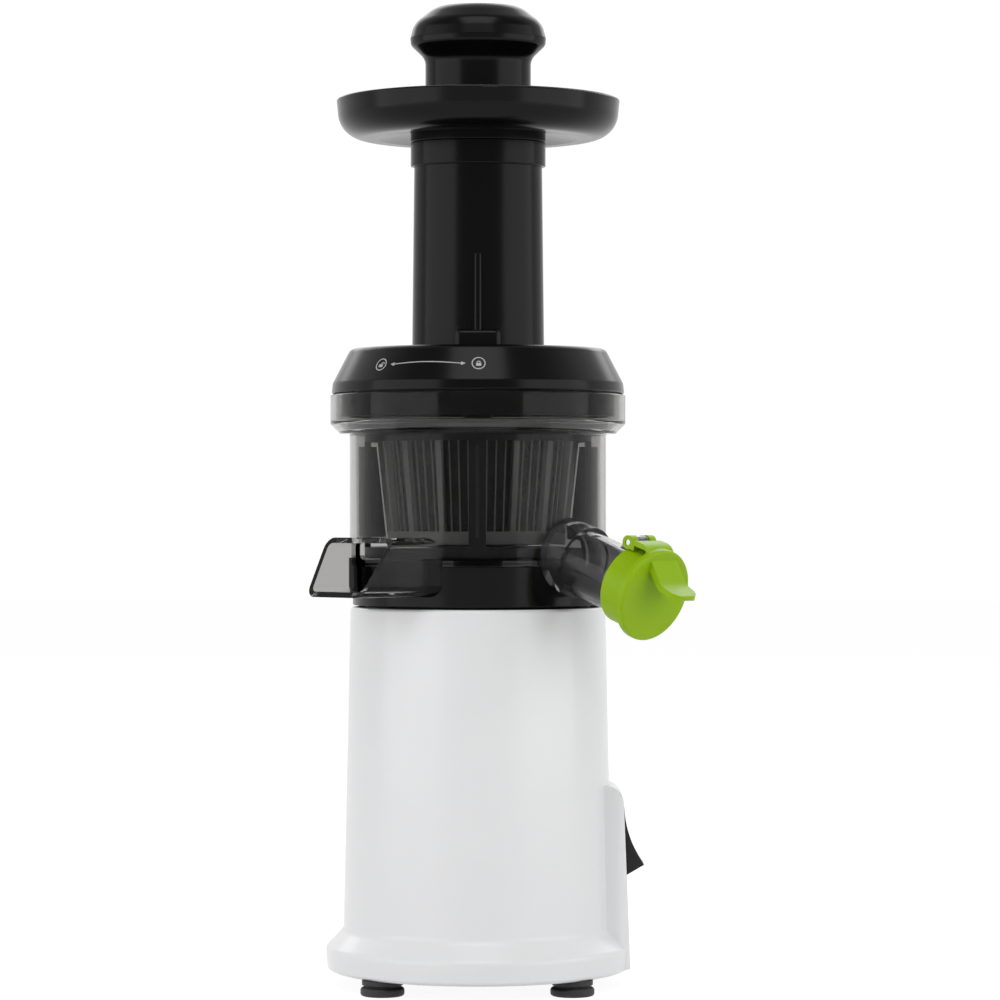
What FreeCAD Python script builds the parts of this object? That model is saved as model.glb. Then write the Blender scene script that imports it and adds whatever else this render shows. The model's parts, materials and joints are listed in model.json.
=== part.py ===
import FreeCAD
import Part
import math
import os
from FreeCAD import Vector

# Vertical slow juicer: motor base, bowl with auger and brush, twist lid, feed chute, tray and pusher.
# Millimetres, +Z up, front is -Y, origin on the table under the auger axis.

# Motor base
FOOT_HEIGHT = 6.5
FOOT_RADIUS = 9.0
FOOT_SPREAD = 38.7
HOUSING_HEIGHT = 151.0
HOUSING_WALL = 2.6
SKIRT_RADIUS = 63.4
SKIRT_HEIGHT = 9.5
SKIRT_SLOPE = 7.5
BODY_BOTTOM_RADIUS = 56.1
BODY_TOP_RADIUS = 53.2
BASE_PLATE = 2.6
DECK_THICKNESS = 4.0
DECK_DROP = 3.0
DRIVE_BOSS = 14.0
FOOT_STEM = 4.0
SCREW_SHANK = 1.6
GLAND_NECK = 5.0
GLAND_BORE = 3.4
GLAND_FLANGE = 7.5
GLAND_HEIGHT = 36.0

# Switch on the right side
PAD_REACH = 62.6
PAD_HALF_WIDTH = 17.0
PAD_TOP = 83.6
PAD_LEAN = 2.4
ROCKER_HEIGHT = 31.0
ROCKER_WIDTH = 15.0
ROCKER_MIDDLE = 59.5
ROCKER_THROW = 7.4
ROCKER_PIN_RADIUS = 1.25

# Motor and gears
MOTOR_ROOM = 23.1
MOTOR_HEIGHT = 70.0
MOTOR_FLOOR = 22.0
MOTOR_WALL = 1.6
MOUNT_HEIGHT = 5.0
BELL = 3.0
BEARING_OUTER = 8.0
BEARING_HEIGHT = 5.0
ROTOR_RADIUS = 19.0
ROTOR_HEIGHT = 40.0
SHAFT_RADIUS = 4.0
PINION_TEETH = 12
WHEEL_TEETH = 54
GEAR_WIDTH = 9.0
GEAR_GAP = 3.0
GEARBOX_WALL = 2.4
GEARBOX_PLATE = 3.0
GEARBOX_BOSS = 3.4
GEARBOX_GAP = 1.7
LAY_SHAFT_RADIUS = 2.5
DRIVE_SHAFT_RADIUS = 7.0
HEX_FLATS = 10.0
HEX_RISE = 46.0

# Bowl
BOWL_GAP = 0.8
BOWL_BASE_HEIGHT = 16.4
BOWL_BASE_INSET = 0.5
BOWL_RADIUS = 53.6
BOWL_WALL = 2.4
BOWL_FLOOR = 2.6
BOWL_WALL_HEIGHT = 54.8
HUB_RADIUS = 8.6
IDLER_PIN = 2.0
RIM_STEP = 8.1
RIM_HEIGHT = 16.3
RIM_CHAMFER = 4.2
RIM_FLOOR = 2.4

# Pulp chute, front left
OUTLET_TURN = 45.0
PULP_HEIGHT = 24.0
PULP_DROP = 12.0
PULP_LIP = 81.5
PULP_BROW = 66.3
PULP_MOUTH_HALF = 16.8
PULP_ROOT_HALF = 23.5
PULP_WALL = 2.2
PULP_CORNER = 4.5

# Juice spout, front right
SPOUT_RADIUS = 13.5
SPOUT_BORE = 11.2
SPOUT_SLOPE = 18.0
SPOUT_RISE = 4.3
SPOUT_END = 97.0
SPOUT_COLLAR = 15.1
SPOUT_COLLAR_END = 65.0
CAP_WALL = 1.8
CAP_CLEAR = 0.9
CAP_OVERLAP = 6.0
CAP_LENGTH = 15.0
CAP_FRONT = 2.6
CAP_RIM = 2.8
CAP_PIN_RADIUS = 1.2
CAP_PIN_GAP = 0.3
HINGE_LUG = 6.0
HINGE_ARM = 3.4
STRAP_WIDTH = 15.0
STRAP_THICKNESS = 2.2
TAB_REACH = 17.0

# Strainer, brush and auger
STRAINER_GAP = 2.4
STRAINER_TAPER = 5.2
STRAINER_WALL = 2.4
STRAINER_RIBS = 16
STRAINER_RIB_WIDTH = 2.2
SCREEN_WALL = 0.7
SCREEN_SLITS = 48
SCREEN_SLIT = 0.6
STRAINER_FLANGE = 2.0
BRUSH_GAP = 3.8
BRUSH_WALL = 2.4
BRUSH_RING = 4.5
BRUSH_STRUTS = 4
BRUSH_STRUT_WIDTH = 7.0
BLADE_THICKNESS = 1.4
BLADE_REACH = 2.9
BLADE_GAP = 0.7
DRIVE_MODULE = 1.25
AUGER_TEETH = 20
IDLER_TEETH = 16
BRUSH_TEETH = 52
DRIVE_WIDTH = 4.6
AUGER_CORE_BOTTOM = 21.0
AUGER_CORE_TOP = 15.0
AUGER_GAP = 1.6
AUGER_TAPER = 2.4
AUGER_STARTS = 3
AUGER_TURN = 150.0
AUGER_SECTIONS = 9
AUGER_CREST_WIDTH = 3.2
AUGER_PIN_RADIUS = 3.0

# Lid
LID_GAP = 0.3
LID_HEIGHT = 18.9
LID_INSET = 0.5
LID_BEVEL = 8.0
LID_BAND = 4.5
LID_WALL = 2.5
LID_SKIRT = 9.5
LUG_COUNT = 4
LUG_SPAN = 24.0
LUG_HEIGHT = 2.8
LUG_REACH = 2.0
MAGNET_RADIUS = 3.0

# Feed chute, tray and pusher; the oval ratio is depth over width
OVAL = 0.74
CHUTE_BACK = 11.0
CHUTE_HEIGHT = 87.4
CHUTE_BOTTOM_HALF = 27.8
CHUTE_TOP_HALF = 26.8
CHUTE_WALL = 2.4
COLLAR_HALF = 28.4
COLLAR_HEIGHT = 10.3
BOSS_HALF = 9.4
BOSS_HEIGHT = 8.0
BOSS_ROUND = 2.2
FIN_HEIGHT = 40.0
FIN_WIDTH = 3.0
FIN_ROUND = 1.1
TRAY_RADIUS = 59.6
TRAY_FLOOR_RADIUS = 47.5
TRAY_HEIGHT = 16.4
TRAY_WALL = 2.2
TRAY_LIFT = 1.6
TRAY_CROWN = 3.4
TRAY_LIP = 9.4
PUSHER_HALF = 23.4
PUSHER_WALL = 2.4
PUSHER_NECK_HALF = 22.2
KNOB_HALF = 28.6
KNOB_HEIGHT = 28.6
KNOB_SEAM = 14.6
PUSHER_TOE = 3.0

# Clearances
RUN_CLEAR = 0.05
SLIDE_CLEAR = 0.6
GAP = 0.3
BACKLASH = 0.16

# Levels worked out from the sizes above
z_plate = FOOT_HEIGHT
z_housing_top = z_plate + HOUSING_HEIGHT
z_deck_top = z_housing_top - DECK_DROP
z_deck = z_deck_top - DECK_THICKNESS
z_bowl = z_housing_top + BOWL_GAP
z_floor = z_bowl + BOWL_BASE_HEIGHT
z_floor_top = z_floor + BOWL_FLOOR
z_rim = z_floor + BOWL_WALL_HEIGHT
z_rim_top = z_rim + RIM_HEIGHT
z_lid = z_rim_top + LID_GAP
z_lid_top = z_lid + LID_HEIGHT
z_chute_top = z_lid_top + CHUTE_HEIGHT
z_tray = z_chute_top
z_tray_rim = z_tray + TRAY_LIFT + TRAY_HEIGHT
z_lip = z_tray + TRAY_LIP
z_knob_top = z_tray_rim + 0.5 * KNOB_SEAM + KNOB_HEIGHT + 4.4
z_drive = z_floor_top + 0.7
z_drive_top = z_drive + DRIVE_WIDTH
z_strainer = z_drive_top + 1.0
z_flange = z_rim + RIM_FLOOR
z_spout = z_floor + SPOUT_RISE
bowl_base_radius = BODY_TOP_RADIUS - BOWL_BASE_INSET
rim_radius = BOWL_RADIUS + RIM_STEP
inner_bowl = BOWL_RADIUS - BOWL_WALL
inner_rim = rim_radius - BOWL_WALL
lid_radius = rim_radius - LID_INSET
lid_top_radius = lid_radius - LID_BEVEL
brush_radius = inner_bowl - BRUSH_GAP
strainer_top_radius = brush_radius - BRUSH_WALL - STRAINER_GAP
strainer_bottom_radius = strainer_top_radius - STRAINER_TAPER
auger_crest_bottom = strainer_bottom_radius - STRAINER_WALL - AUGER_GAP
auger_crest_top = auger_crest_bottom - AUGER_TAPER
motor_radius = BODY_BOTTOM_RADIUS - MOTOR_ROOM
hub_seal = HEX_FLATS / math.sqrt(3) + 0.6
gearbox_radius = BODY_TOP_RADIUS - HOUSING_WALL - GEARBOX_GAP - GEARBOX_BOSS + 0.6
gear_module = (gearbox_radius - GEARBOX_WALL - 1.0) / (PINION_TEETH / 2 + WHEEL_TEETH + 1)
wheel_radius = gear_module * WHEEL_TEETH / 2
lay_offset = gear_module * (PINION_TEETH + WHEEL_TEETH) / 2
idler_offset = DRIVE_MODULE * (AUGER_TEETH + IDLER_TEETH) / 2
z_motor_top = MOTOR_FLOOR + MOTOR_HEIGHT
z_gearbox = z_motor_top
z_gear_low = z_gearbox + GEARBOX_PLATE + GEAR_GAP
z_gear_high = z_gear_low + GEAR_WIDTH + GEAR_GAP
z_gearbox_top = z_gear_high + GEAR_WIDTH + GEAR_GAP
pulp_way = Vector(-math.sin(math.radians(OUTLET_TURN)), -math.cos(math.radians(OUTLET_TURN)), 0)
spout_plan = Vector(math.sin(math.radians(OUTLET_TURN)), -math.cos(math.radians(OUTLET_TURN)), 0)
spout_side = Vector(-spout_plan.y, spout_plan.x, 0)
spout_way = (spout_plan * math.cos(math.radians(SPOUT_SLOPE))
             - Vector(0, 0, math.sin(math.radians(SPOUT_SLOPE))))
spout_up = spout_side.cross(spout_way) * -1
if spout_up.z < 0:
    spout_up = spout_up * -1
AXIS = Vector(0, 0, 1)


# Shape helpers

def corner_edges(corners, place):
    """Edges of a closed outline; each corner is (u, v, radius) and place turns (u, v) into a point."""
    starts, middles, ends = [], [], []
    count = len(corners)
    for i, (u, v, radius) in enumerate(corners):
        here = Vector(u, v, 0)
        before = Vector(*corners[i - 1][:2], 0) - here
        after = Vector(*corners[(i + 1) % count][:2], 0) - here
        before.normalize()
        after.normalize()
        half = before.getAngle(after) / 2
        if radius <= 0 or half > math.pi / 2 - 0.001:
            starts.append(here)
            middles.append(None)
            ends.append(here)
            continue
        reach = radius / math.tan(half)
        bisector = before + after
        bisector.normalize()
        centre = here + bisector * (radius / math.sin(half))
        starts.append(here + before * reach)
        middles.append(centre - bisector * radius)
        ends.append(here + after * reach)
    edges = []
    for i in range(count):
        if middles[i] is not None:
            edges.append(Part.Arc(place(starts[i]), place(middles[i]), place(ends[i])).toShape())
        begin, finish = place(ends[i]), place(starts[(i + 1) % count])
        if begin.distanceToPoint(finish) > 1e-6:
            edges.append(Part.LineSegment(begin, finish).toShape())
    return edges


def outline_face(corners, place):
    """A flat face inside a rounded outline."""
    return Part.Face(Part.Wire(corner_edges(corners, place)))


def revolve(corners):
    """A solid of revolution about Z from (radius, height, corner radius) corners."""
    face = outline_face(corners, lambda p: Vector(p.x, 0, p.y))
    return face.revolve(Vector(0, 0, 0), AXIS, 360)


def prism(corners, z_low, z_high):
    """An upright prism over an outline in plan."""
    face = outline_face(corners, lambda p: Vector(p.x, p.y, z_low))
    return face.extrude(Vector(0, 0, z_high - z_low))


def disc(radius, z_low, z_high, x=0.0, y=0.0):
    """An upright cylinder between two heights."""
    return Part.makeCylinder(radius, z_high - z_low, Vector(x, y, z_low))


def ring(outer, inner, z_low, z_high, x=0.0, y=0.0):
    """A plain upright ring."""
    return disc(outer, z_low, z_high, x, y).cut(disc(inner, z_low - 1, z_high + 1, x, y))


def sector(outer, inner, z_low, z_high, middle, span):
    """Part of a ring, centred on an angle in degrees."""
    solid = Part.makeCylinder(outer, z_high - z_low, Vector(0, 0, z_low), AXIS, span)
    solid = solid.cut(disc(inner, z_low - 1, z_high + 1))
    return turned(solid, middle - span / 2)


def turned(shape, degrees, centre=Vector(0, 0, 0)):
    """A copy turned about a vertical line."""
    copy = shape.copy()
    copy.rotate(centre, AXIS, degrees)
    return copy


def oval(shape):
    """Squeezes a round shape front to back and moves it to the feed chute's line."""
    squeeze = FreeCAD.Matrix()
    squeeze.A22 = OVAL
    shape = shape.transformGeometry(squeeze)
    shape.translate(Vector(0, CHUTE_BACK, 0))
    return shape


def hexagon(flats, z_low, z_high):
    """A hexagonal bar on the axis."""
    radius = flats / math.sqrt(3)
    corners = []
    for i in range(6):
        angle = math.radians(60 * i)
        corners.append((radius * math.cos(angle), radius * math.sin(angle), 0))
    return prism(corners, z_low, z_high)


def gear_wire(teeth, module, phase, z, tip, root, slack):
    """Closed involute gear outline with a tooth centred on phase degrees; slack thins each tooth."""
    pressure = math.radians(25)
    pitch = module * teeth / 2
    base = pitch * math.cos(pressure)
    low = max(root, base)

    def spread(radius):
        roll = math.acos(min(1.0, base / radius))
        return math.tan(roll) - roll

    half_pitch = math.pi / (2 * teeth) - slack / (2 * pitch)

    def flank(radius):
        return half_pitch + spread(pitch) - spread(radius)

    def at(radius, angle):
        return Vector(radius * math.cos(angle), radius * math.sin(angle), z)

    edges = []
    step = 2 * math.pi / teeth
    for i in range(teeth):
        middle = math.radians(phase) + i * step
        mean = (low + tip) / 2
        foot, hip, head = flank(low), flank(mean), flank(tip)
        up = [at(low, middle - foot), at(mean, middle - hip), at(tip, middle - head)]
        down = [at(tip, middle + head), at(mean, middle + hip), at(low, middle + foot)]
        edges.append(Part.Arc(*up).toShape())
        edges.append(Part.Arc(up[2], at(tip, middle), down[0]).toShape())
        edges.append(Part.Arc(*down).toShape())
        next_up = at(low, middle + step - foot)
        if low > root + 1e-6:
            left, right = at(root, middle + foot), at(root, middle + step - foot)
            edges.append(Part.LineSegment(down[2], left).toShape())
            edges.append(Part.Arc(left, at(root, middle + step / 2), right).toShape())
            edges.append(Part.LineSegment(right, next_up).toShape())
        else:
            edges.append(Part.Arc(down[2], at(low, middle + step / 2), next_up).toShape())
    return Part.Wire(edges)


def gear(teeth, module, phase, z_low, width):
    """An external spur gear on the axis."""
    pitch = module * teeth / 2
    wire = gear_wire(teeth, module, phase, z_low, pitch + module, pitch - 1.25 * module, BACKLASH)
    return Part.Face(wire).extrude(Vector(0, 0, width))


def screw(head_radius, head_height, shank_radius, length, place, up):
    """A pan-head screw whose head stands on place and whose shank runs along -up."""
    head = Part.makeCylinder(head_radius, head_height, place, up)
    shank = Part.makeCylinder(shank_radius, length, place, up * -1)
    slot_depth = head_height / 2
    slot = Part.makeCylinder(head_radius / 2.4, slot_depth, place + up * (head_height - slot_depth), up)
    return head.fuse(shank).cut(slot)


# Motor base

def housing_radius(z):
    """Outer radius of the tapered housing wall at a height."""
    z_foot = z_plate + SKIRT_HEIGHT + SKIRT_SLOPE
    share = (z - z_foot) / (z_housing_top - z_foot)
    return BODY_BOTTOM_RADIUS + share * (BODY_TOP_RADIUS - BODY_BOTTOM_RADIUS)


def pad_solid(inset):
    """The switch pad that stands out of the housing's right side, drawn in by inset."""
    reach, half = PAD_REACH - inset, PAD_HALF_WIDTH - inset
    z_low, z_high = z_plate + 1.0, PAD_TOP - inset
    side = [(20, z_low, 0), (reach + 0.6, z_low, 0), (reach - PAD_LEAN, z_high, 7.0 - inset / 2),
            (20, z_high, 0)]
    slab = outline_face(side, lambda p: Vector(p.x, -half, p.y)).extrude(Vector(0, 2 * half, 0))
    plan = [(20, -half, 0), (reach + 1, -half, 6.0), (reach + 1, half, 6.0), (20, half, 0)]
    return slab.common(prism(plan, z_low, z_high + 1))


def motor_housing():
    """White tapered shell with a flared skirt and the switch pad."""
    z_band = z_plate + SKIRT_HEIGHT
    z_foot = z_band + SKIRT_SLOPE
    wall = HOUSING_WALL
    outer = revolve([(0, z_plate, 0), (SKIRT_RADIUS - 0.6, z_plate, 2.0), (SKIRT_RADIUS, z_band, 3.0),
                     (BODY_BOTTOM_RADIUS, z_foot, 4.0), (BODY_TOP_RADIUS, z_housing_top, 1.4),
                     (0, z_housing_top, 0)])
    ledge = BODY_TOP_RADIUS - 2 * wall
    inner = revolve([(0, z_plate - 1, 0), (SKIRT_RADIUS - wall, z_plate - 1, 0),
                     (SKIRT_RADIUS - wall, z_band, 2.0),
                     (BODY_BOTTOM_RADIUS - wall, z_foot, 2.0), (BODY_TOP_RADIUS - wall, z_deck - wall, 0),
                     (ledge, z_deck, 0), (BODY_TOP_RADIUS - wall, z_deck, 0),
                     (BODY_TOP_RADIUS - wall, z_housing_top + 1, 0), (0, z_housing_top + 1, 0)])
    shell = outer.fuse(pad_solid(0)).removeSplitter().cut(inner)
    inside = min(housing_radius(z_foot), housing_radius(PAD_TOP)) - wall
    shell = shell.cut(pad_solid(wall).cut(disc(inside, 0, PAD_TOP)))
    opening = Part.makeBox(20, ROCKER_WIDTH + 4, ROCKER_HEIGHT + 4)
    opening.translate(Vector(PAD_REACH - 14, -ROCKER_WIDTH / 2 - 2, ROCKER_MIDDLE - ROCKER_HEIGHT / 2 - 2))
    gland = Part.makeCylinder(GLAND_NECK, 20, Vector(0, SKIRT_RADIUS - 16, GLAND_HEIGHT), Vector(0, 1, 0))
    return shell.cut(opening).cut(gland)


def cord_gland():
    """Rubber bush for the mains lead, at the back."""
    place, way = Vector(0, 0, GLAND_HEIGHT), Vector(0, 1, 0)
    wall_out = BODY_BOTTOM_RADIUS
    flange = Part.makeCylinder(GLAND_FLANGE, 3.0, place + way * (wall_out + 0.2), way)
    neck = Part.makeCylinder(GLAND_NECK - 0.1, 10.0, place + way * (wall_out - 8.0), way)
    bore = Part.makeCylinder(GLAND_BORE, 30, place + way * (wall_out - 10), way)
    return flange.fuse(neck).cut(bore)


def top_deck():
    """Black plate that closes the housing's top, with a raised seat for the bowl and a shaft boss."""
    radius = BODY_TOP_RADIUS - HOUSING_WALL - 0.2
    seat_out = bowl_base_radius - 6.0
    corners = [(DRIVE_BOSS - 3.0, z_deck, 0), (radius, z_deck, 0), (radius, z_deck_top, 0.8),
               (seat_out, z_deck_top, 0), (seat_out, z_bowl, 0.8), (seat_out - 3, z_bowl, 0.8),
               (seat_out - 3, z_deck_top, 0), (DRIVE_BOSS, z_deck_top, 0), (DRIVE_BOSS, z_bowl + 3, 1.0),
               (DRIVE_BOSS - 3.0, z_bowl + 3, 0)]
    return revolve(corners)


def deck_seal():
    """Lip seal round the drive shaft in the deck's boss."""
    return revolve([(DRIVE_SHAFT_RADIUS + RUN_CLEAR, z_deck, 0), (DRIVE_BOSS - 3.0, z_deck, 0),
                    (DRIVE_BOSS - 3.0, z_bowl + 2, 0), (DRIVE_SHAFT_RADIUS + 2.0, z_bowl + 2, 0.5),
                    (DRIVE_SHAFT_RADIUS + RUN_CLEAR, z_deck + 5, 0)])


def corner_spots(spread):
    """Four places at the corners of a square, in plan."""
    return [(x, y) for x in (-spread, spread) for y in (-spread, spread)]


def base_plate():
    """Bottom cover with vent slots and four foot pockets."""
    radius = SKIRT_RADIUS - HOUSING_WALL - 0.25
    plate = disc(radius, z_plate, z_plate + BASE_PLATE)
    for i in range(-4, 5):
        slot = Part.makeBox(3.0, 34.0, BASE_PLATE + 2)
        slot.translate(Vector(6.0 * i - 1.5, -17.0, z_plate - 1))
        plate = plate.cut(slot)
    for x, y in corner_spots(FOOT_SPREAD):
        plate = plate.cut(disc(FOOT_STEM + 0.1, z_plate - 1, z_plate + BASE_PLATE + 1, x, y))
    for x, y in screw_spots():
        plate = plate.cut(disc(SCREW_SHANK + 0.2, z_plate - 1, z_plate + BASE_PLATE + 1, x, y))
        post = ring(SCREW_SHANK + 2.4, SCREW_SHANK + 0.2, z_plate + BASE_PLATE,
                    MOTOR_FLOOR - MOUNT_HEIGHT, x, y)
        plate = plate.fuse(post)
    return plate


def screw_spots():
    """Where the screws run up through the base plate into the motor's lower bell."""
    spread = motor_radius - 6.0
    return [(spread, 0), (-spread, 0), (0, spread), (0, -spread)]


def base_screws():
    """Four screws from below the base plate into the motor."""
    length = MOTOR_FLOOR + 3.0 - z_plate
    screws = [screw(3.2, 2.0, SCREW_SHANK, length, Vector(x, y, z_plate),
                    Vector(0, 0, -1)) for x, y in screw_spots()]
    return Part.makeCompound(screws)


def rubber_feet():
    """Four two-tier rubber feet whose stems snap through the base plate."""
    feet = []
    for x, y in corner_spots(FOOT_SPREAD):
        foot = revolve([(0, 0, 0), (FOOT_RADIUS, 0, 1.2), (FOOT_RADIUS, 3.4, 1.2),
                        (FOOT_RADIUS - 3, 3.8, 0.3),
                        (FOOT_RADIUS - 0.6, 4.4, 0.5), (FOOT_RADIUS - 0.6, z_plate, 0),
                        (FOOT_STEM, z_plate, 0),
                        (FOOT_STEM, z_plate + BASE_PLATE, 0), (FOOT_STEM + 0.8, z_plate + BASE_PLATE, 0),
                        (FOOT_STEM - 1, z_plate + BASE_PLATE + 3, 0.5), (0, z_plate + BASE_PLATE + 3, 0)])
        foot.translate(Vector(x, y, 0))
        feet.append(foot)
    return Part.makeCompound(feet)


# Switch

def pad_face(z):
    """X of the switch pad's leaning face at a height."""
    z_low = z_plate + 1.0
    return PAD_REACH + 0.6 - (z - z_low) / (PAD_TOP - z_low) * (PAD_LEAN + 0.6)


def switch_frame():
    """Black bezel that lines the opening in the pad."""
    half_y, half_z = ROCKER_WIDTH / 2 + 2, ROCKER_HEIGHT / 2 + 2
    face = pad_face(ROCKER_MIDDLE)
    outer = Part.makeBox(10, 2 * half_y - 0.3, 2 * half_z - 0.3)
    outer.translate(Vector(face - 10.6, -half_y + 0.15, ROCKER_MIDDLE - half_z + 0.15))
    inner = Part.makeBox(30, ROCKER_WIDTH + 1.2, ROCKER_HEIGHT + 1.0)
    inner.translate(Vector(face - 20, -ROCKER_WIDTH / 2 - 0.6, ROCKER_MIDDLE - ROCKER_HEIGHT / 2 - 0.5))
    return outer.cut(inner).cut(rocker_pin_bar(ROCKER_PIN_RADIUS))


def rocker_pivot():
    """The rocker's pivot point, behind the pad's face."""
    return Vector(pad_face(ROCKER_MIDDLE) - 5.0, 0, ROCKER_MIDDLE)


def rocker_pin_bar(radius):
    """A bar along Y through the rocker's pivot, as long as the bezel is wide."""
    length = ROCKER_WIDTH + 3.6
    return Part.makeCylinder(radius, length, rocker_pivot() - Vector(0, length / 2, 0), Vector(0, 1, 0))


def rocker_pin():
    """Steel pin that carries the rocker."""
    return rocker_pin_bar(ROCKER_PIN_RADIUS)


def switch_rocker():
    """Concave rocker, shown pressed at its top so that its foot stands out."""
    pivot = rocker_pivot()
    x_top = pad_face(ROCKER_MIDDLE + ROCKER_HEIGHT / 2) + 0.4
    x_foot = pad_face(ROCKER_MIDDLE - ROCKER_HEIGHT / 2) + ROCKER_THROW
    z_top, z_foot = ROCKER_MIDDLE + ROCKER_HEIGHT / 2 - 0.8, ROCKER_MIDDLE - ROCKER_HEIGHT / 2 + 0.8

    def at(x, z):
        return Vector(x, -ROCKER_WIDTH / 2, z)

    heel = at(x_foot, z_foot + 5.4)
    middle = at((x_top + x_foot) / 2 - 1.3, ROCKER_MIDDLE + 1.0)
    head, sole = at(x_top, z_top), at(pad_face(z_foot) - 1.5, z_foot + 0.2)
    back_low, back_high = at(pivot.x - 3.0, ROCKER_MIDDLE - 6), at(pivot.x - 3.0, ROCKER_MIDDLE + 6)
    back_head = at(x_top - 4.5, z_top)
    edges = [Part.Arc(head, middle, heel).toShape()]
    path = [heel, sole, back_low, back_high, back_head, head]
    for begin, finish in zip(path, path[1:]):
        edges.append(Part.LineSegment(begin, finish).toShape())
    body = Part.Face(Part.Wire(edges)).extrude(Vector(0, ROCKER_WIDTH, 0))
    return body.cut(rocker_pin_bar(ROCKER_PIN_RADIUS + RUN_CLEAR))


def switch_body():
    """Contact block behind the rocker, with its terminals."""
    pivot = rocker_pivot()
    block = Part.makeBox(5.0, ROCKER_WIDTH, ROCKER_HEIGHT - 8)
    back = pad_face(ROCKER_MIDDLE) - 10.6
    block.translate(Vector(back - 5.0, -ROCKER_WIDTH / 2, pivot.z - (ROCKER_HEIGHT - 8) / 2))
    wings = Part.makeBox(1.5, ROCKER_WIDTH + 3, ROCKER_HEIGHT + 2)
    wings.translate(Vector(back - 1.5, -(ROCKER_WIDTH + 3) / 2, pivot.z - (ROCKER_HEIGHT + 2) / 2))
    for side in (-1, 0, 1):
        tab = Part.makeBox(5.0, 4.8, 0.8)
        tab.translate(Vector(back - 10.0, -2.4, pivot.z + 7.0 * side - 0.4))
        block = block.fuse(tab)
    return block.fuse(wings)


# Motor and gearbox

def motor_can():
    """Drawn steel can of the motor."""
    return ring(motor_radius, motor_radius - MOTOR_WALL, MOTOR_FLOOR + BELL, z_motor_top)


def motor_lower_bell():
    """Lower end bell with a bearing pocket and screw holes."""
    bell = disc(motor_radius, MOTOR_FLOOR, MOTOR_FLOOR + BELL)
    hub = disc(BEARING_OUTER + 2.0, MOTOR_FLOOR + BELL, MOTOR_FLOOR + BELL + BEARING_HEIGHT)
    bell = bell.fuse(hub).cut(disc(BEARING_OUTER, MOTOR_FLOOR + BELL,
                                   MOTOR_FLOOR + BELL + BEARING_HEIGHT + 1))
    bell = bell.cut(disc(SHAFT_RADIUS + 1.0, MOTOR_FLOOR - 1, MOTOR_FLOOR + BELL + 1))
    for x, y in screw_spots():
        bell = bell.cut(disc(SCREW_SHANK, MOTOR_FLOOR - 1, MOTOR_FLOOR + BELL + 1, x, y))
    return bell


def motor_bearings():
    """Two plain ball-bearing rings on the motor shaft."""
    low = ring(BEARING_OUTER, SHAFT_RADIUS + RUN_CLEAR, MOTOR_FLOOR + BELL,
               MOTOR_FLOOR + BELL + BEARING_HEIGHT)
    high = ring(BEARING_OUTER, SHAFT_RADIUS + RUN_CLEAR, z_motor_top - BEARING_HEIGHT, z_motor_top)
    return Part.makeCompound([low, high])


def rotor_low():
    """Height of the rotor core's underside."""
    return MOTOR_FLOOR + (MOTOR_HEIGHT - ROTOR_HEIGHT) / 2 + 2.0


def motor_stator():
    """Laminated stator ring pressed into the can, with six pole slots."""
    low, high = rotor_low() + 1.0, rotor_low() + ROTOR_HEIGHT - 1.0
    bore = ROTOR_RADIUS + 0.6
    stator = ring(motor_radius - MOTOR_WALL, bore, low, high)
    for i in range(6):
        slot = disc(3.2, low - 1, high + 1, bore + 5.0)
        mouth = Part.makeBox(6.0, 1.6, high - low + 2)
        mouth.translate(Vector(bore - 1.0, -0.8, low - 1))
        stator = stator.cut(turned(slot.fuse(mouth), 60 * i))
    return stator


def motor_mounts():
    """Rubber damper rings between the base plate's posts and the motor."""
    low = MOTOR_FLOOR - MOUNT_HEIGHT
    return Part.makeCompound([ring(SCREW_SHANK + 3.4, SCREW_SHANK + 0.2, low, MOTOR_FLOOR, x, y)
                              for x, y in screw_spots()])


def rotor_shaft():
    """Motor shaft, from the fan up to its pinion."""
    return disc(SHAFT_RADIUS, MOTOR_FLOOR - 2.0, z_gear_low)


def rotor_core():
    """Skewed-slot rotor core on the motor shaft."""
    core = disc(ROTOR_RADIUS, rotor_low(), rotor_low() + ROTOR_HEIGHT)
    for i in range(12):
        bar = disc(1.2, rotor_low() - 1, rotor_low() + ROTOR_HEIGHT + 1, ROTOR_RADIUS - 3.0)
        core = core.cut(turned(bar, 30 * i))
    return core.cut(disc(SHAFT_RADIUS, 0, z_gear_low))


def cooling_fan():
    """Radial fan above the rotor core."""
    low = rotor_low() + ROTOR_HEIGHT
    fan = ring(ROTOR_RADIUS - 2.0, SHAFT_RADIUS, low, low + 1.5)
    fan = fan.fuse(ring(SHAFT_RADIUS + 2.0, SHAFT_RADIUS, low, low + 6.0))
    for i in range(9):
        blade = Part.makeBox(ROTOR_RADIUS - SHAFT_RADIUS - 3.5, 1.2, 4.5)
        blade.translate(Vector(SHAFT_RADIUS + 1.5, -0.6, low + 1.5))
        fan = fan.fuse(turned(blade, 40 * i))
    return fan


def motor_pinion():
    """Steel pinion on the motor shaft's end."""
    return gear(PINION_TEETH, gear_module, 0, z_gear_low, GEAR_WIDTH)


def lay_gear():
    """Large wheel on the layshaft, driven by the motor pinion."""
    wheel = gear(WHEEL_TEETH, gear_module, 180 + 180 / WHEEL_TEETH, z_gear_low, GEAR_WIDTH)
    wheel = wheel.cut(disc(LAY_SHAFT_RADIUS, z_gear_low - 1, z_gear_high))
    wheel.translate(Vector(lay_offset, 0, 0))
    return wheel


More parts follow.
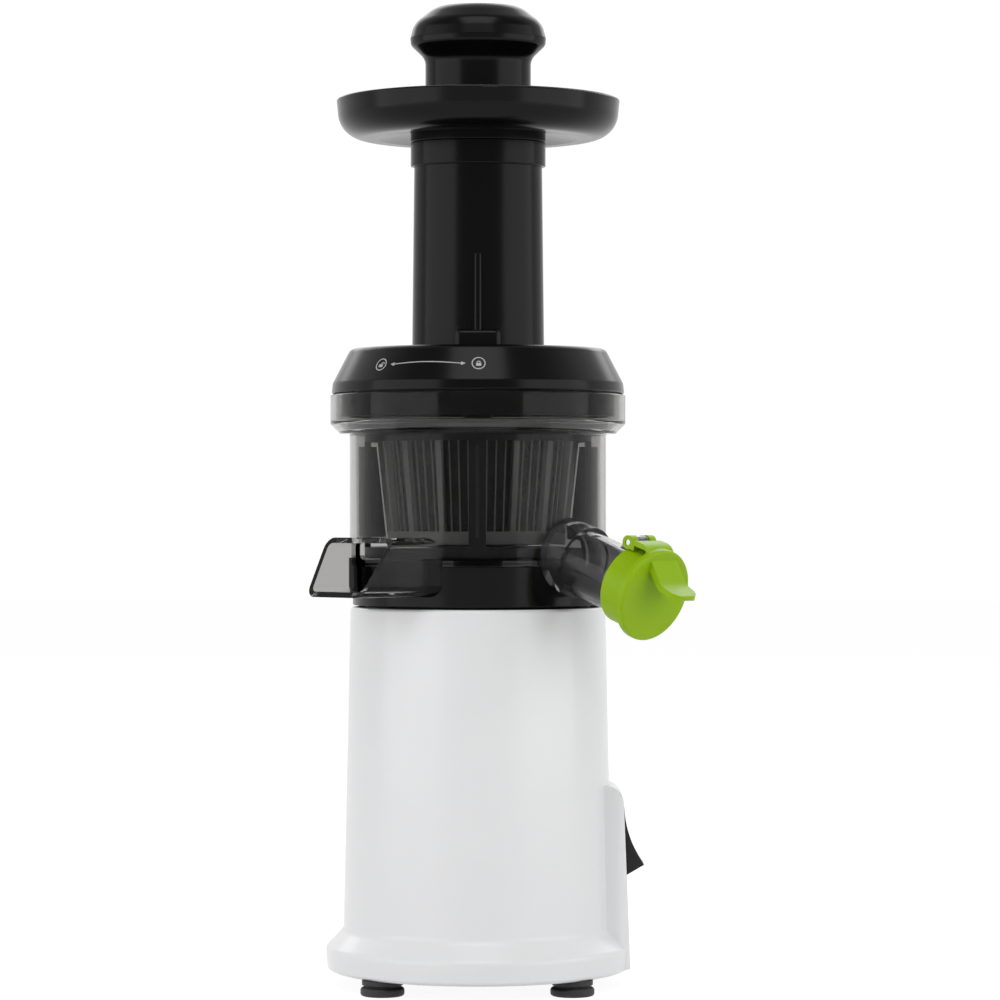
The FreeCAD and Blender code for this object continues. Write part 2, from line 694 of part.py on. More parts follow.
def lay_pinion():
    """Small pinion above the large wheel on the layshaft."""
    pinion = gear(PINION_TEETH, gear_module, 180, z_gear_high, GEAR_WIDTH)
    hub = ring(LAY_SHAFT_RADIUS + 1.0, LAY_SHAFT_RADIUS, z_gear_low + GEAR_WIDTH, z_gear_high)
    pinion = pinion.cut(disc(LAY_SHAFT_RADIUS, z_gear_high - 1, z_gearbox_top)).fuse(hub)
    pinion.translate(Vector(lay_offset, 0, 0))
    return pinion


def layshaft():
    """Steel layshaft between the gearbox floor and its cover."""
    return disc(LAY_SHAFT_RADIUS, z_gearbox + 0.5, z_gearbox_top + GEARBOX_PLATE - 0.5, lay_offset)


def layshaft_bushes():
    """Bronze bushes at the layshaft's two ends."""
    low = ring(LAY_SHAFT_RADIUS + 1.8, LAY_SHAFT_RADIUS + RUN_CLEAR, z_gearbox + 0.5, z_gear_low - 0.3,
               lay_offset)
    high = ring(LAY_SHAFT_RADIUS + 1.8, LAY_SHAFT_RADIUS + RUN_CLEAR, z_gearbox_top - 1.5,
                z_gearbox_top + GEARBOX_PLATE, lay_offset)
    return Part.makeCompound([low, high])


def output_gear():
    """Large wheel that turns the drive shaft."""
    wheel = gear(WHEEL_TEETH, gear_module, 180 / WHEEL_TEETH, z_gear_high, GEAR_WIDTH)
    return wheel.cut(disc(DRIVE_SHAFT_RADIUS, z_gear_high - 1, z_gearbox_top))


def drive_shaft():
    """Output shaft: a round journal in the gearbox, a hexagon up into the auger."""
    journal = disc(DRIVE_SHAFT_RADIUS, z_gear_high, z_bowl + 3)
    top = z_bowl + HEX_RISE
    bar = hexagon(HEX_FLATS, z_bowl + 3, top)
    nose = Part.makeCone(HEX_FLATS / math.sqrt(3) + 0.3, HEX_FLATS / 2 - 1.5, 3.0, Vector(0, 0, top - 3.0))
    sleeve = disc(HEX_FLATS, z_bowl + 2, top - 3.0)
    return journal.fuse(bar.common(sleeve.fuse(nose)))


def drive_bearing():
    """Bronze bush in the gearbox cover that carries the drive shaft."""
    return ring(DRIVE_SHAFT_RADIUS + 2.5, DRIVE_SHAFT_RADIUS + RUN_CLEAR, z_gearbox_top - 1.0,
                z_gearbox_top + GEARBOX_PLATE + 4.0)


def gearbox_spots():
    """Where the gearbox screws stand, on the case's rim."""
    return [turned(Part.Vertex(gearbox_radius - 0.6, 0, 0), angle).Point for angle in (75, 160, 200, 285)]


def gearbox_case():
    """Die-cast gearbox floor and wall, which also closes the motor's top."""
    wall = ring(gearbox_radius, gearbox_radius - GEARBOX_WALL, z_gearbox, z_gearbox_top)
    floor = disc(gearbox_radius, z_gearbox, z_gearbox + GEARBOX_PLATE)
    case = wall.fuse(floor)
    for spot in gearbox_spots():
        case = case.fuse(disc(GEARBOX_BOSS, z_gearbox, z_gearbox_top, spot.x, spot.y))
        case = case.cut(disc(SCREW_SHANK, z_gearbox + 6, z_gearbox_top + 1, spot.x, spot.y))
    collar = disc(BEARING_OUTER + 2.0, z_motor_top - BEARING_HEIGHT, z_gearbox)
    case = case.fuse(collar).cut(disc(BEARING_OUTER, z_motor_top - BEARING_HEIGHT - 1, z_motor_top))
    case = case.cut(disc(SHAFT_RADIUS + 1.0, z_motor_top - 1, z_gear_low))
    return case.cut(disc(LAY_SHAFT_RADIUS + 1.8, z_gearbox + 0.5, z_gear_low, lay_offset))


def gearbox_cover():
    """Plate that closes the gearbox and holds the drive bearing."""
    z_low, z_high = z_gearbox_top, z_gearbox_top + GEARBOX_PLATE
    cover = disc(gearbox_radius, z_low, z_high)
    for spot in gearbox_spots():
        cover = cover.fuse(disc(GEARBOX_BOSS, z_low, z_high, spot.x, spot.y))
        cover = cover.cut(disc(SCREW_SHANK + 0.2, z_low - 1, z_high + 1, spot.x, spot.y))
    cover = cover.fuse(disc(DRIVE_SHAFT_RADIUS + 5.0, z_high, z_high + 4.0))
    cover = cover.cut(disc(DRIVE_SHAFT_RADIUS + 2.5, z_low - 1, z_high + 5))
    return cover.cut(disc(LAY_SHAFT_RADIUS + 1.8, z_low - 1, z_high + 1, lay_offset))


def gearbox_screws():
    """Four screws through the gearbox cover."""
    z_high = z_gearbox_top + GEARBOX_PLATE
    return Part.makeCompound([screw(3.0, 2.0, SCREW_SHANK, 12.0, Vector(spot.x, spot.y, z_high), AXIS)
                              for spot in gearbox_spots()])


def control_board():
    """Printed board with the motor's run capacitor, on the housing's back wall."""
    y_back = housing_radius(60) - HOUSING_WALL - 9.0
    board = Part.makeBox(34, 1.6, 44)
    board.translate(Vector(-17, y_back, 40))
    case = Part.makeCylinder(5.0, 22, Vector(-9, y_back - 4.5, 44))
    relay = Part.makeBox(12, 6, 16)
    relay.translate(Vector(2, y_back - 6, 56))
    legs = []
    for x in (-14, 14):
        leg = Part.makeBox(5, 10, 5)
        leg.translate(Vector(x - 2.5, y_back + 1.6, 60))
        legs.append(leg.common(disc(housing_radius(65) - HOUSING_WALL - 0.15, 0, 200)))
    return board.fuse(case).fuse(relay).fuse(legs)


def interlock_switch():
    """Reed switch block under the deck that feels the lid's magnet through the bowl."""
    block = Part.makeBox(10, 6, 8)
    block.translate(Vector(-5, BODY_TOP_RADIUS - HOUSING_WALL - 14, z_deck - 8))
    return block


# Bowl

def outlet_place(way, side):
    """Turns (along the outlet, across it) into a plan point."""
    return lambda p: Vector(way.x * p.x + side.x * p.y, way.y * p.x + side.y * p.y, 0)


def pulp_block(inset, root):
    """Solid of the tapered pulp chute, drawn in by inset, cut back at its sloping mouth."""
    side = Vector(-pulp_way.y, pulp_way.x, 0)
    z_low, z_high = z_floor - PULP_DROP + inset, z_floor - PULP_DROP + PULP_HEIGHT - inset
    reach = PULP_LIP + 4
    taper = (PULP_MOUTH_HALF - PULP_ROOT_HALF) / (PULP_LIP - BOWL_RADIUS)
    mouth = PULP_ROOT_HALF + (reach - BOWL_RADIUS) * taper - inset
    base = PULP_ROOT_HALF + (root - BOWL_RADIUS) * taper - inset
    corner = max(0.4, PULP_CORNER - inset)

    def section(x, half):
        place = lambda p: pulp_way * x + side * p.x + Vector(0, 0, p.y)
        ring_of = [(-half, z_low, corner), (half, z_low, corner), (half, z_high, corner),
                   (-half, z_high, corner)]
        return Part.Wire(corner_edges(ring_of, place))

    return Part.makeLoft([section(root, base), section(reach, mouth)], True, True)


def pulp_mouth_cut():
    """Block ahead of the pulp chute's sloping mouth."""
    side = Vector(-pulp_way.y, pulp_way.x, 0)
    z_low, z_high = z_floor - PULP_DROP, z_floor - PULP_DROP + PULP_HEIGHT
    lean = (PULP_BROW - PULP_LIP) / PULP_HEIGHT
    low, high = PULP_LIP - 4 * lean, PULP_BROW + 4 * lean
    place = lambda p: pulp_way * p.x + side * -60 + Vector(0, 0, p.y)
    corners = [(low, z_low - 4, 0), (low + 60, z_low - 4, 0), (low + 60, z_high + 4, 0),
               (high, z_high + 4, 0)]
    return outline_face(corners, place).extrude(side * 120)


def spout_point(along, up=0.0, across=0.0):
    """A point by its distance along the spout's axis from the bowl's axis, up from it and across it."""
    start = Vector(0, 0, z_spout + BOWL_RADIUS * math.tan(math.radians(SPOUT_SLOPE)))
    return start + spout_way * along + spout_up * up + spout_side * across


def spout_bar(radius, begin, finish):
    """A round bar along the spout's axis."""
    return Part.makeCylinder(radius, finish - begin, spout_point(begin), spout_way)


cap_inner = SPOUT_RADIUS + CAP_CLEAR
cap_outer = cap_inner + CAP_WALL
cap_start = SPOUT_END - CAP_OVERLAP
pin_up = cap_outer + CAP_PIN_RADIUS + CAP_PIN_GAP
arm_start = HINGE_LUG / 2 + 0.6


def hinge_lug():
    """Lug on the spout that holds the cap's pin."""
    foot = SPOUT_RADIUS - 2.2
    head = CAP_PIN_RADIUS + 1.2
    corners = [(cap_start - 8, foot, 0), (cap_start - 1.2, foot, 0), (cap_start - 1.2, pin_up - head, 0),
               (cap_start + head, pin_up - head, head - 0.1), (cap_start + head, pin_up + head, head - 0.1),
               (cap_start - head, pin_up + head, head - 0.1)]
    face = outline_face(corners, lambda p: spout_point(p.x, p.y, -HINGE_LUG / 2))
    return face.extrude(spout_side * HINGE_LUG)


def cap_pin_bar(radius, half):
    """A bar on the cap's hinge line."""
    return Part.makeCylinder(radius, 2 * half, spout_point(cap_start, pin_up, -half), spout_side)


def spout_outside(margin, begin):
    """The spout's pipe and its root collar as one bar, grown by margin."""
    pipe = spout_bar(SPOUT_RADIUS + margin, begin, SPOUT_END)
    collar = spout_bar(SPOUT_COLLAR + margin, begin, SPOUT_COLLAR_END + margin)
    return pipe.fuse(collar)


def outlet_cut(margin):
    """Both outlets as solids, grown by margin, for clearing other pieces."""
    return pulp_block(-margin, BOWL_RADIUS - 20).fuse(spout_outside(margin, 20))


def spout_way_in():
    """The spout's bore, which stops above the bowl's floor."""
    return spout_bar(SPOUT_BORE, BOWL_RADIUS - 8, SPOUT_END + 1).cut(disc(BOWL_RADIUS, 0, z_floor_top))


def juice_spout():
    """Clear sloping spout welded to the bowl's wall, with a root collar and the cap's hinge lug."""
    pipe = spout_outside(0, BOWL_RADIUS - 14).cut(disc(BOWL_RADIUS, z_floor, z_rim))
    pipe = pipe.cut(disc(bowl_base_radius - 4.0, z_bowl - 5, z_floor)).fuse(hinge_lug())
    return pipe.cut(spout_way_in()).cut(cap_pin_bar(CAP_PIN_RADIUS, 8.0)).removeSplitter()


def bowl():
    """Smoked clear bowl: wall, floor, stepped rim with bayonet tabs and pulp chute in one."""
    wall = BOWL_WALL
    outer = revolve([(0, z_floor, 0), (BOWL_RADIUS, z_floor, 0.8), (BOWL_RADIUS, z_rim, 0.8),
                     (rim_radius - RIM_CHAMFER, z_rim, 0.8), (rim_radius, z_rim + RIM_CHAMFER, 1.2),
                     (rim_radius, z_rim_top, 0.6), (0, z_rim_top, 0)])
    inner = revolve([(0, z_floor_top, 0), (inner_bowl, z_floor_top, 2.0), (inner_bowl, z_flange, 0.5),
                     (inner_rim - RIM_CHAMFER + 1.2, z_flange, 0.6),
                     (inner_rim, z_flange + RIM_CHAMFER - 1.2, 0.8),
                     (inner_rim, z_rim_top + 1, 0), (0, z_rim_top + 1, 0)])
    core = disc(inner_bowl + 0.6, z_floor + 0.1, z_rim)
    outside = pulp_block(0, BOWL_RADIUS - 12).cut(pulp_mouth_cut()).cut(core)
    below = disc(bowl_base_radius - 4.0, z_bowl - 5, z_floor)
    shell = outer.cut(inner).fuse(outside.cut(below))
    pulp_way_in = pulp_block(PULP_WALL, BOWL_RADIUS - 10)
    shell = shell.cut(pulp_way_in.cut(disc(bowl_base_radius - 1.6, 0, z_floor)))
    shell = shell.cut(spout_way_in())
    hub = disc(HUB_RADIUS + 2.4, z_bowl + 4.2, z_floor_top)
    shell = shell.fuse(hub).cut(disc(HUB_RADIUS, z_bowl, z_floor_top + 1))
    shell = shell.fuse(disc(IDLER_PIN + 2.0, z_floor - 4, z_floor, idler_offset))
    shell = shell.cut(disc(IDLER_PIN, z_floor - 2, z_floor_top + 1, idler_offset))
    for i in range(LUG_COUNT):
        tab = sector(inner_rim + 0.5, inner_rim - LUG_REACH, z_rim_top - 5.0, z_rim_top - 2.6,
                     45 + 90 * i, 28)
        shell = shell.fuse(tab)
    return shell.removeSplitter()


def bowl_base():
    """Black ring under the clear bowl that seats on the deck, notched for both outlets."""
    corners = [(bowl_base_radius - 2.6, z_bowl, 0), (bowl_base_radius - 0.4, z_bowl, 0.5),
               (bowl_base_radius, z_floor, 0), (bowl_base_radius - 9.5, z_floor, 0),
               (bowl_base_radius - 9.5, z_bowl, 0.5), (bowl_base_radius - 6.9, z_bowl, 0),
               (bowl_base_radius - 6.9, z_floor - 2.4, 0), (bowl_base_radius - 2.6, z_floor - 2.4, 0)]
    return revolve(corners).cut(outlet_cut(0.15))


def bowl_seal():
    """Silicone ring in the bowl's hub that keeps juice off the drive shaft."""
    return revolve([(hub_seal, z_bowl + 5, 0), (HUB_RADIUS, z_bowl + 5, 0), (HUB_RADIUS, z_floor_top, 0),
                    (hub_seal + 1.0, z_floor_top, 0.3), (hub_seal, z_floor_top - 3, 0)])


def idler_pin():
    """Steel pin in the bowl's floor that carries the brush's idler gear."""
    return disc(IDLER_PIN, z_floor - 2, z_drive_top - 0.4, idler_offset)


def strainer_inner(z):
    """Inner radius of the strainer's cone at a height."""
    z_low, z_high = z_strainer + STRAINER_WALL, z_flange + STRAINER_FLANGE
    share = (z - z_low) / (z_high - z_low)
    return strainer_bottom_radius - STRAINER_WALL + share * (strainer_top_radius - strainer_bottom_radius)


def strainer_frame():
    """Ribbed strainer basket hung from the bowl's step by its flange."""
    t = STRAINER_WALL
    z_top = z_flange + STRAINER_FLANGE
    cone = revolve([(strainer_bottom_radius - 9, z_strainer, 0), (strainer_bottom_radius, z_strainer, 0.6),
                    (strainer_top_radius, z_flange, 0), (inner_rim - RIM_CHAMFER - 0.4, z_flange, 0),
                    (inner_rim - RIM_CHAMFER - 0.4, z_top, 0.5), (strainer_top_radius - t, z_top, 0.5),
                    (strainer_bottom_radius - t, z_strainer + t, 0.5),
                    (strainer_bottom_radius - 9, z_strainer + t, 0)])
    z_low, z_high = z_strainer + 5.5, z_flange - 5.0
    step = 360 / STRAINER_RIBS
    gap = step - math.degrees(STRAINER_RIB_WIDTH / strainer_bottom_radius)
    for i in range(STRAINER_RIBS):
        window = sector(BOWL_RADIUS, strainer_bottom_radius - 8, z_low, z_high, step * (i + 0.5), gap)
        cone = cone.cut(window)
    return cone


def strainer_screen():
    """Thin cone with fine upright slits, inside the strainer's ribs."""
    z_low, z_high = z_strainer + 4.0, z_flange - 3.5
    low, high = strainer_inner(z_low) - 0.05, strainer_inner(z_high) - 0.05
    t = SCREEN_WALL
    cone = revolve([(low - t, z_low, 0), (low, z_low, 0), (high, z_high, 0), (high - t, z_high, 0)])
    slit = Part.makeBox(STRAINER_TAPER + 4, SCREEN_SLIT, z_high - z_low - 6.0)
    slit.translate(Vector(low - 3, -SCREEN_SLIT / 2, z_low + 3.0))
    step = 360 / SCREEN_SLITS
    return cone.cut([turned(slit, step * (i + 0.5)) for i in range(SCREEN_SLITS)])


# Brush, idler and auger

def brush_frame():
    """Turning brush cage with an internal gear at its foot."""
    pitch = DRIVE_MODULE * BRUSH_TEETH / 2
    hole = gear_wire(BRUSH_TEETH, DRIVE_MODULE, 180 / BRUSH_TEETH, z_drive - 1, pitch + 1.25 * DRIVE_MODULE,
                     pitch - 0.9 * DRIVE_MODULE, -BACKLASH)
    z_top = z_flange - 1.2
    foot = disc(brush_radius, z_drive, z_drive_top - 0.2)
    foot = foot.cut(Part.Face(hole).extrude(Vector(0, 0, DRIVE_WIDTH + 2)))
    top = ring(brush_radius, brush_radius - BRUSH_WALL, z_top - BRUSH_RING, z_top)
    cage = foot.fuse(top)
    span = math.degrees(BRUSH_STRUT_WIDTH / brush_radius)
    for i in range(BRUSH_STRUTS):
        cage = cage.fuse(sector(brush_radius, brush_radius - BRUSH_WALL, z_drive, z_top, strut_angle(i),
                                span))
    for i in range(BRUSH_STRUTS):
        cage = cage.cut(blade_slot(i))
    return cage


def strut_angle(i):
    """Where a brush strut stands, in degrees."""
    return 360 / BRUSH_STRUTS * i


def strainer_outer(z):
    """Outer radius of the strainer's cone at a height."""
    return strainer_bottom_radius + (z - z_strainer) / (z_flange - z_strainer) * STRAINER_TAPER


def blade_slot(i):
    """The space of one wiper blade, between the strainer's cone and the bowl's wall."""
    low, high = z_drive_top + 4.0, z_flange - 1.2 - BRUSH_RING - 2.0
    outer = brush_radius + BLADE_REACH
    corners = [(outer, low, 0), (outer, high, 0), (strainer_outer(high) + BLADE_GAP, high, 0),
               (strainer_outer(low) + BLADE_GAP, low, 0)]
    face = outline_face(corners, lambda p: Vector(p.x, -BLADE_THICKNESS / 2, p.y))
    return turned(face.extrude(Vector(0, BLADE_THICKNESS, 0)), strut_angle(i))


def brush_blades():
    """Silicone wipers set in the brush's struts."""
    return Part.makeCompound([blade_slot(i) for i in range(BRUSH_STRUTS)])


def brush_idler():
    """Idler gear between the auger's gear and the brush's internal gear."""
    wheel = gear(IDLER_TEETH, DRIVE_MODULE, 180 + 180 / IDLER_TEETH, z_drive, DRIVE_WIDTH - 0.4)
    wheel = wheel.cut(disc(IDLER_PIN + RUN_CLEAR, z_drive - 1, z_drive_top + 1))
    wheel.translate(Vector(idler_offset, 0, 0))
    return wheel


def auger_section(z, share):
    """Cross-section of the auger: a round core with helical ridges, turned by its share of the pitch."""
    core = AUGER_CORE_BOTTOM + share * (AUGER_CORE_TOP - AUGER_CORE_BOTTOM)
    crest = auger_crest_bottom + share * (auger_crest_top - auger_crest_bottom)
    half_crest = AUGER_CREST_WIDTH / 2 / crest
    half_root = half_crest * 2.2 + 0.1

    def at(radius, angle):
        return Vector(radius * math.cos(angle), radius * math.sin(angle), z)

    edges = []
    step = 2 * math.pi / AUGER_STARTS
    for i in range(AUGER_STARTS):
        middle = i * step + math.radians(AUGER_TURN) * share
        nearest = at(core, middle - half_root)
        low_crest, high_crest = at(crest, middle - half_crest), at(crest, middle + half_crest)
        far = at(core, middle + half_root)
        edges.append(Part.LineSegment(nearest, low_crest).toShape())
        edges.append(Part.Arc(low_crest, at(crest, middle), high_crest).toShape())
        edges.append(Part.LineSegment(high_crest, far).toShape())
        edges.append(Part.Arc(far, at(core, middle + step / 2),
                              at(core, middle + step - half_root)).toShape())
    return Part.Wire(edges)


def auger():
    """Black pressing screw with three helical ridges, a hexagonal socket and its gear's seat."""
    z_low, z_high = z_strainer + STRAINER_WALL + 0.8, z_flange - 4.0
    wires = []
    for i in range(AUGER_SECTIONS):
        share = i / (AUGER_SECTIONS - 1)
        wires.append(auger_section(z_low + share * (z_high - z_low), share))
    screw_body = Part.makeLoft(wires, True, False)
    neck = disc(AUGER_CORE_BOTTOM, z_drive_top, z_low + 1.0)
    head = revolve([(0, z_high - 1, 0), (AUGER_CORE_TOP, z_high - 1, 0), (AUGER_CORE_TOP, z_high + 2, 1.0),
                    (AUGER_PIN_RADIUS + 3, z_high + 5, 1.0), (AUGER_PIN_RADIUS + 3, z_lid - 1.5, 0.6),
                    (0, z_lid - 1.5, 0)])
    body = screw_body.fuse(neck).fuse(head)
    body = body.cut(hexagon(HEX_FLATS + 2 * 0.35, z_drive - 1, z_bowl + HEX_RISE + 1.5))
    return body.cut(disc(AUGER_PIN_RADIUS, z_lid - 9.0, z_lid + 10))


def auger_gear():
    """Gear ring on the auger's foot."""
    wheel = gear(AUGER_TEETH, DRIVE_MODULE, 0, z_drive, DRIVE_WIDTH)
    return wheel.cut(hexagon(HEX_FLATS + 2 * 0.35, z_drive - 1, z_drive_top + 1))


def auger_pin():
    """Steel pin at the auger's top that turns in the lid's bush."""
    return disc(AUGER_PIN_RADIUS, z_lid - 9.0, z_lid + 6.0)


# Cap

def juice_cap():
    """Green hinged cap: a sleeve over the spout's end, a closed front, and a strap with a thumb tab."""
    front = cap_start + CAP_LENGTH
    sleeve = spout_bar(cap_outer, cap_start, front - 1.0)
    rim_disc = spout_bar(cap_outer + CAP_RIM, front - 3.0, front)
    cap = sleeve.fuse(rim_disc)
    front_edges = [e for e in cap.Edges if abs((e.CenterOfMass - spout_point(front)).Length) < 0.5]
    cap = cap.makeFillet(1.2, front_edges)
    cap = cap.cut(spout_bar(cap_inner, cap_start - 1, front - CAP_FRONT))
    notch_corners = [(cap_start - 1, 8, 0), (cap_start + 3, 8, 0), (cap_start + 3, pin_up + 6, 0),
                     (cap_start - 1, pin_up + 6, 0)]
    notch = outline_face(notch_corners, lambda p: spout_point(p.x, p.y, -arm_start))
    cap = cap.cut(notch.extrude(spout_side * 2 * arm_start))
    cap = cap.fuse(strap_solid(front))
    for across in (-arm_start - HINGE_ARM, arm_start):
        eye = Part.makeCylinder(CAP_PIN_RADIUS + 1.6, HINGE_ARM, spout_point(cap_start, pin_up, across),
                                spout_side)
        web_corners = [(cap_start, cap_outer - 0.8, 0), (cap_start + 4, cap_outer - 0.8, 0),
                       (cap_start + 4, pin_up + 1.5, 0), (cap_start, pin_up + 1.5, 0)]
        web = outline_face(web_corners, lambda p: spout_point(p.x, p.y, across))
        cap = cap.fuse(eye).fuse(web.extrude(spout_side * HINGE_ARM))
    cap = cap.cut(cap_pin_bar(CAP_PIN_RADIUS + RUN_CLEAR, 10.0))
    return cap.cut(spout_bar(cap_inner, cap_start - 6, front - CAP_FRONT)).removeSplitter()


def strap_solid(front):
    """The band from the hinge over the cap's front, ending in a round lifted tab."""
    t = STRAP_THICKNESS
    top = pin_up
    end = front + TAB_REACH
    corners = [(cap_start + 3.4, top + t - 0.2, 1.0), (front - 5.0, top + t, 6.0), (front + 3.0, 12.0, 6.0),
               (front + 8.0, 7.2, 8.0), (end, 5.6, 1.0), (end, 3.4, 1.0), (front + 6.8, 4.8, 7.0),
               (front + 0.6, 10.6, 3.0), (front - 1.0, 10.6, 0), (front - 1.0, cap_outer - 2.0, 0),
               (front - 4.0, cap_outer - 0.6, 0), (front - 4.0, top, 0.6), (cap_start + 3.4, top, 0.4)]
    half = STRAP_WIDTH / 2
    band = outline_face(corners, lambda p: spout_point(p.x, p.y, -half)).extrude(spout_side * STRAP_WIDTH)
    plan = [(cap_start, -half, 0), (end, -half, half - 1.5), (end, half, half - 1.5), (cap_start, half, 0)]
    return band.common(outline_face(plan, lambda p: spout_point(p.x, -10, p.y)).extrude(spout_up * 60))


def cap_pin():
    """Steel pin through the spout's lug."""
    return cap_pin_bar(CAP_PIN_RADIUS, arm_start + HINGE_ARM - 0.3)


# Lid, chute, tray and pusher

def chute_solid(inset, z_low, z_high):
    """Oval tapered bar inside the chute's outer wall by inset, between two heights."""
    def half(z):
        share = (z - z_lid_top) / CHUTE_HEIGHT
        return CHUTE_BOTTOM_HALF + share * (CHUTE_TOP_HALF - CHUTE_BOTTOM_HALF) - inset
    return oval(revolve([(0, z_low, 0), (half(z_low), z_low, 0), (half(z_high), z_high, 0),
                         (0, z_high, 0)]))


def lid():
    """Black bevelled lid whose skirt and lugs lock under the bowl's tabs."""
    wall = LID_WALL
    skirt = inner_rim - LUG_REACH - GAP
    z_skirt = z_lid - LID_SKIRT
    outer = revolve([(0, z_skirt, 0), (skirt, z_skirt, 0.6), (skirt, z_lid, 0), (lid_radius, z_lid, 1.0),
                     (lid_radius - 0.5, z_lid + LID_BAND, 2.5), (lid_top_radius, z_lid_top, 3.0),
                     (0, z_lid_top, 0)])
    inner = revolve([(0, z_skirt - 1, 0), (skirt - wall, z_skirt - 1, 0), (skirt - wall, z_lid + 2, 2.0),
                     (lid_top_radius - wall, z_lid_top - wall, 2.0), (0, z_lid_top - wall, 0)])
    shell = outer.cut(inner)
    for i in range(LUG_COUNT):
        lug = sector(skirt + LUG_REACH - GAP, skirt - 1, z_rim_top - 5.4 - LUG_HEIGHT, z_rim_top - 5.4,
                     45 + 90 * i, LUG_SPAN)
        shell = shell.fuse(lug)
    bush = disc(AUGER_PIN_RADIUS + 5.0, z_lid - 0.5, z_lid_top - wall)
    shell = shell.fuse(bush).cut(disc(AUGER_PIN_RADIUS + 2.0, z_lid - 1, z_lid + 7.0))
    return shell.cut(chute_solid(CHUTE_WALL, z_lid + 1.0, z_lid_top + 1).cut(disc(AUGER_PIN_RADIUS + 5.0,
                                                                                  0, 400)))


def auger_bush():
    """Acetal bush in the lid for the auger's pin."""
    return ring(AUGER_PIN_RADIUS + 2.0, AUGER_PIN_RADIUS + RUN_CLEAR, z_lid - 0.5, z_lid + 7.0)


def lid_seal():
    """Silicone ring on the lid's skirt."""
    skirt = inner_rim - LUG_REACH - GAP - LID_WALL
    return revolve([(skirt - 2.4, z_lid - LID_SKIRT + 1, 0.6), (skirt, z_lid - LID_SKIRT + 1, 0),
                    (skirt, z_lid - LID_SKIRT + 4, 0), (skirt - 2.4, z_lid - LID_SKIRT + 4, 0.6)])


def lid_magnet():
    """Magnet in the lid that the base's reed switch feels."""
    skirt = inner_rim - LUG_REACH - GAP - LID_WALL
    return disc(MAGNET_RADIUS, z_lid - LID_SKIRT + 4.2, z_lid - LID_SKIRT + 7.2, 0,
                skirt - MAGNET_RADIUS - 0.1)


def feed_chute():
    """Tapered oval chute with a collar, a boss at its foot and a stiffening fin."""
    tube = chute_solid(0, z_lid_top, z_chute_top)
    collar = oval(revolve([(0, z_chute_top - COLLAR_HEIGHT, 0),
                           (COLLAR_HALF, z_chute_top - COLLAR_HEIGHT, 0.6),
                           (COLLAR_HALF, z_chute_top, 0.4), (0, z_chute_top, 0)]))
    front = CHUTE_BACK - CHUTE_BOTTOM_HALF * OVAL
    boss_front = front - 5.0
    boss = prism([(-BOSS_HALF, boss_front, 0), (BOSS_HALF, boss_front, 0), (BOSS_HALF, front + 6.0, 0),
                  (-BOSS_HALF, front + 6.0, 0)], z_lid_top, z_lid_top + BOSS_HEIGHT)
    exposed = [e for e in boss.Edges if e.CenterOfMass.z > z_lid_top + 1 and e.CenterOfMass.y < front + 5]
    boss = boss.makeFillet(BOSS_ROUND, exposed)
    fin_corners = [(front + 3, z_lid_top, 0), (front - 4.4, z_lid_top, 0),
                   (front - 4.4, z_lid_top + 9, 1.0),
                   (front - 0.8, z_lid_top + FIN_HEIGHT, 0.5), (front + 3, z_lid_top + FIN_HEIGHT, 0)]
    fin_face = outline_face(fin_corners, lambda p: Vector(-FIN_WIDTH / 2, p.x, p.y))
    fin = fin_face.extrude(Vector(FIN_WIDTH, 0, 0))
    ridge = [e for e in fin.Edges if e.Length > FIN_HEIGHT / 2 and e.CenterOfMass.y < front]
    fin = fin.makeFillet(FIN_ROUND, ridge)
    body = tube.fuse(collar).fuse(boss).fuse(fin)
    return body.cut(chute_solid(CHUTE_WALL, z_lid_top - 1, z_chute_top + 1))


def feed_tray():
    """Round dish whose oval throat sits on the chute's collar."""
    low, rim = z_tray + TRAY_LIFT, z_tray_rim
    crown = low + TRAY_CROWN
    t = TRAY_WALL
    dish = revolve([(0, crown, 0), (20, crown, 0), (TRAY_FLOOR_RADIUS - 5, low, 4.0),
                    (TRAY_RADIUS - 1.6, low, 11.0), (TRAY_RADIUS, rim, 0.9), (TRAY_RADIUS - t, rim, 0.9),
                    (TRAY_RADIUS - t - 1.6, low + t, 9.0), (TRAY_FLOOR_RADIUS - 5, low + t, 4.0),
                    (20, crown + t, 0), (0, crown + t, 0)])
    dish.translate(Vector(0, CHUTE_BACK, 0))
    throat = oval(revolve([(0, z_tray, 0), (COLLAR_HALF, z_tray, 0.4), (COLLAR_HALF, z_lip, 0.8),
                           (0, z_lip, 0)]))
    hole = chute_solid(CHUTE_WALL, z_tray - 1, z_lip + 1)
    return dish.fuse(throat).cut(hole).removeSplitter()


def pusher_body():
    """Hollow oval plunger with a flange that rests on the tray's lip, a neck and the knob's underside."""
    z_seam = z_knob_top - KNOB_SEAM
    toe = z_lid_top + PUSHER_TOE
    solid = oval(revolve([(0, toe, 0), (PUSHER_HALF, toe, 3.0), (PUSHER_HALF, z_lip, 0),
                          (COLLAR_HALF - 1.5, z_lip, 0.6),
                          (COLLAR_HALF - 1.5, z_lip + 2.4, 1.0), (PUSHER_NECK_HALF, z_lip + 2.4, 1.0),
                          (PUSHER_NECK_HALF, z_seam - 8.6, 6.0), (KNOB_HALF - 0.3, z_seam - 2.8, 3.0),
                          (KNOB_HALF, z_seam, 0), (0, z_seam, 0)]))
    inside = PUSHER_NECK_HALF - PUSHER_WALL
    hollow = oval(revolve([(0, toe + PUSHER_WALL, 0), (inside, toe + PUSHER_WALL, 2.0),
                           (inside, z_seam - 6, 3.0),
                           (inside - 6, z_seam + 1, 0), (0, z_seam + 1, 0)]))
    return solid.cut(hollow)


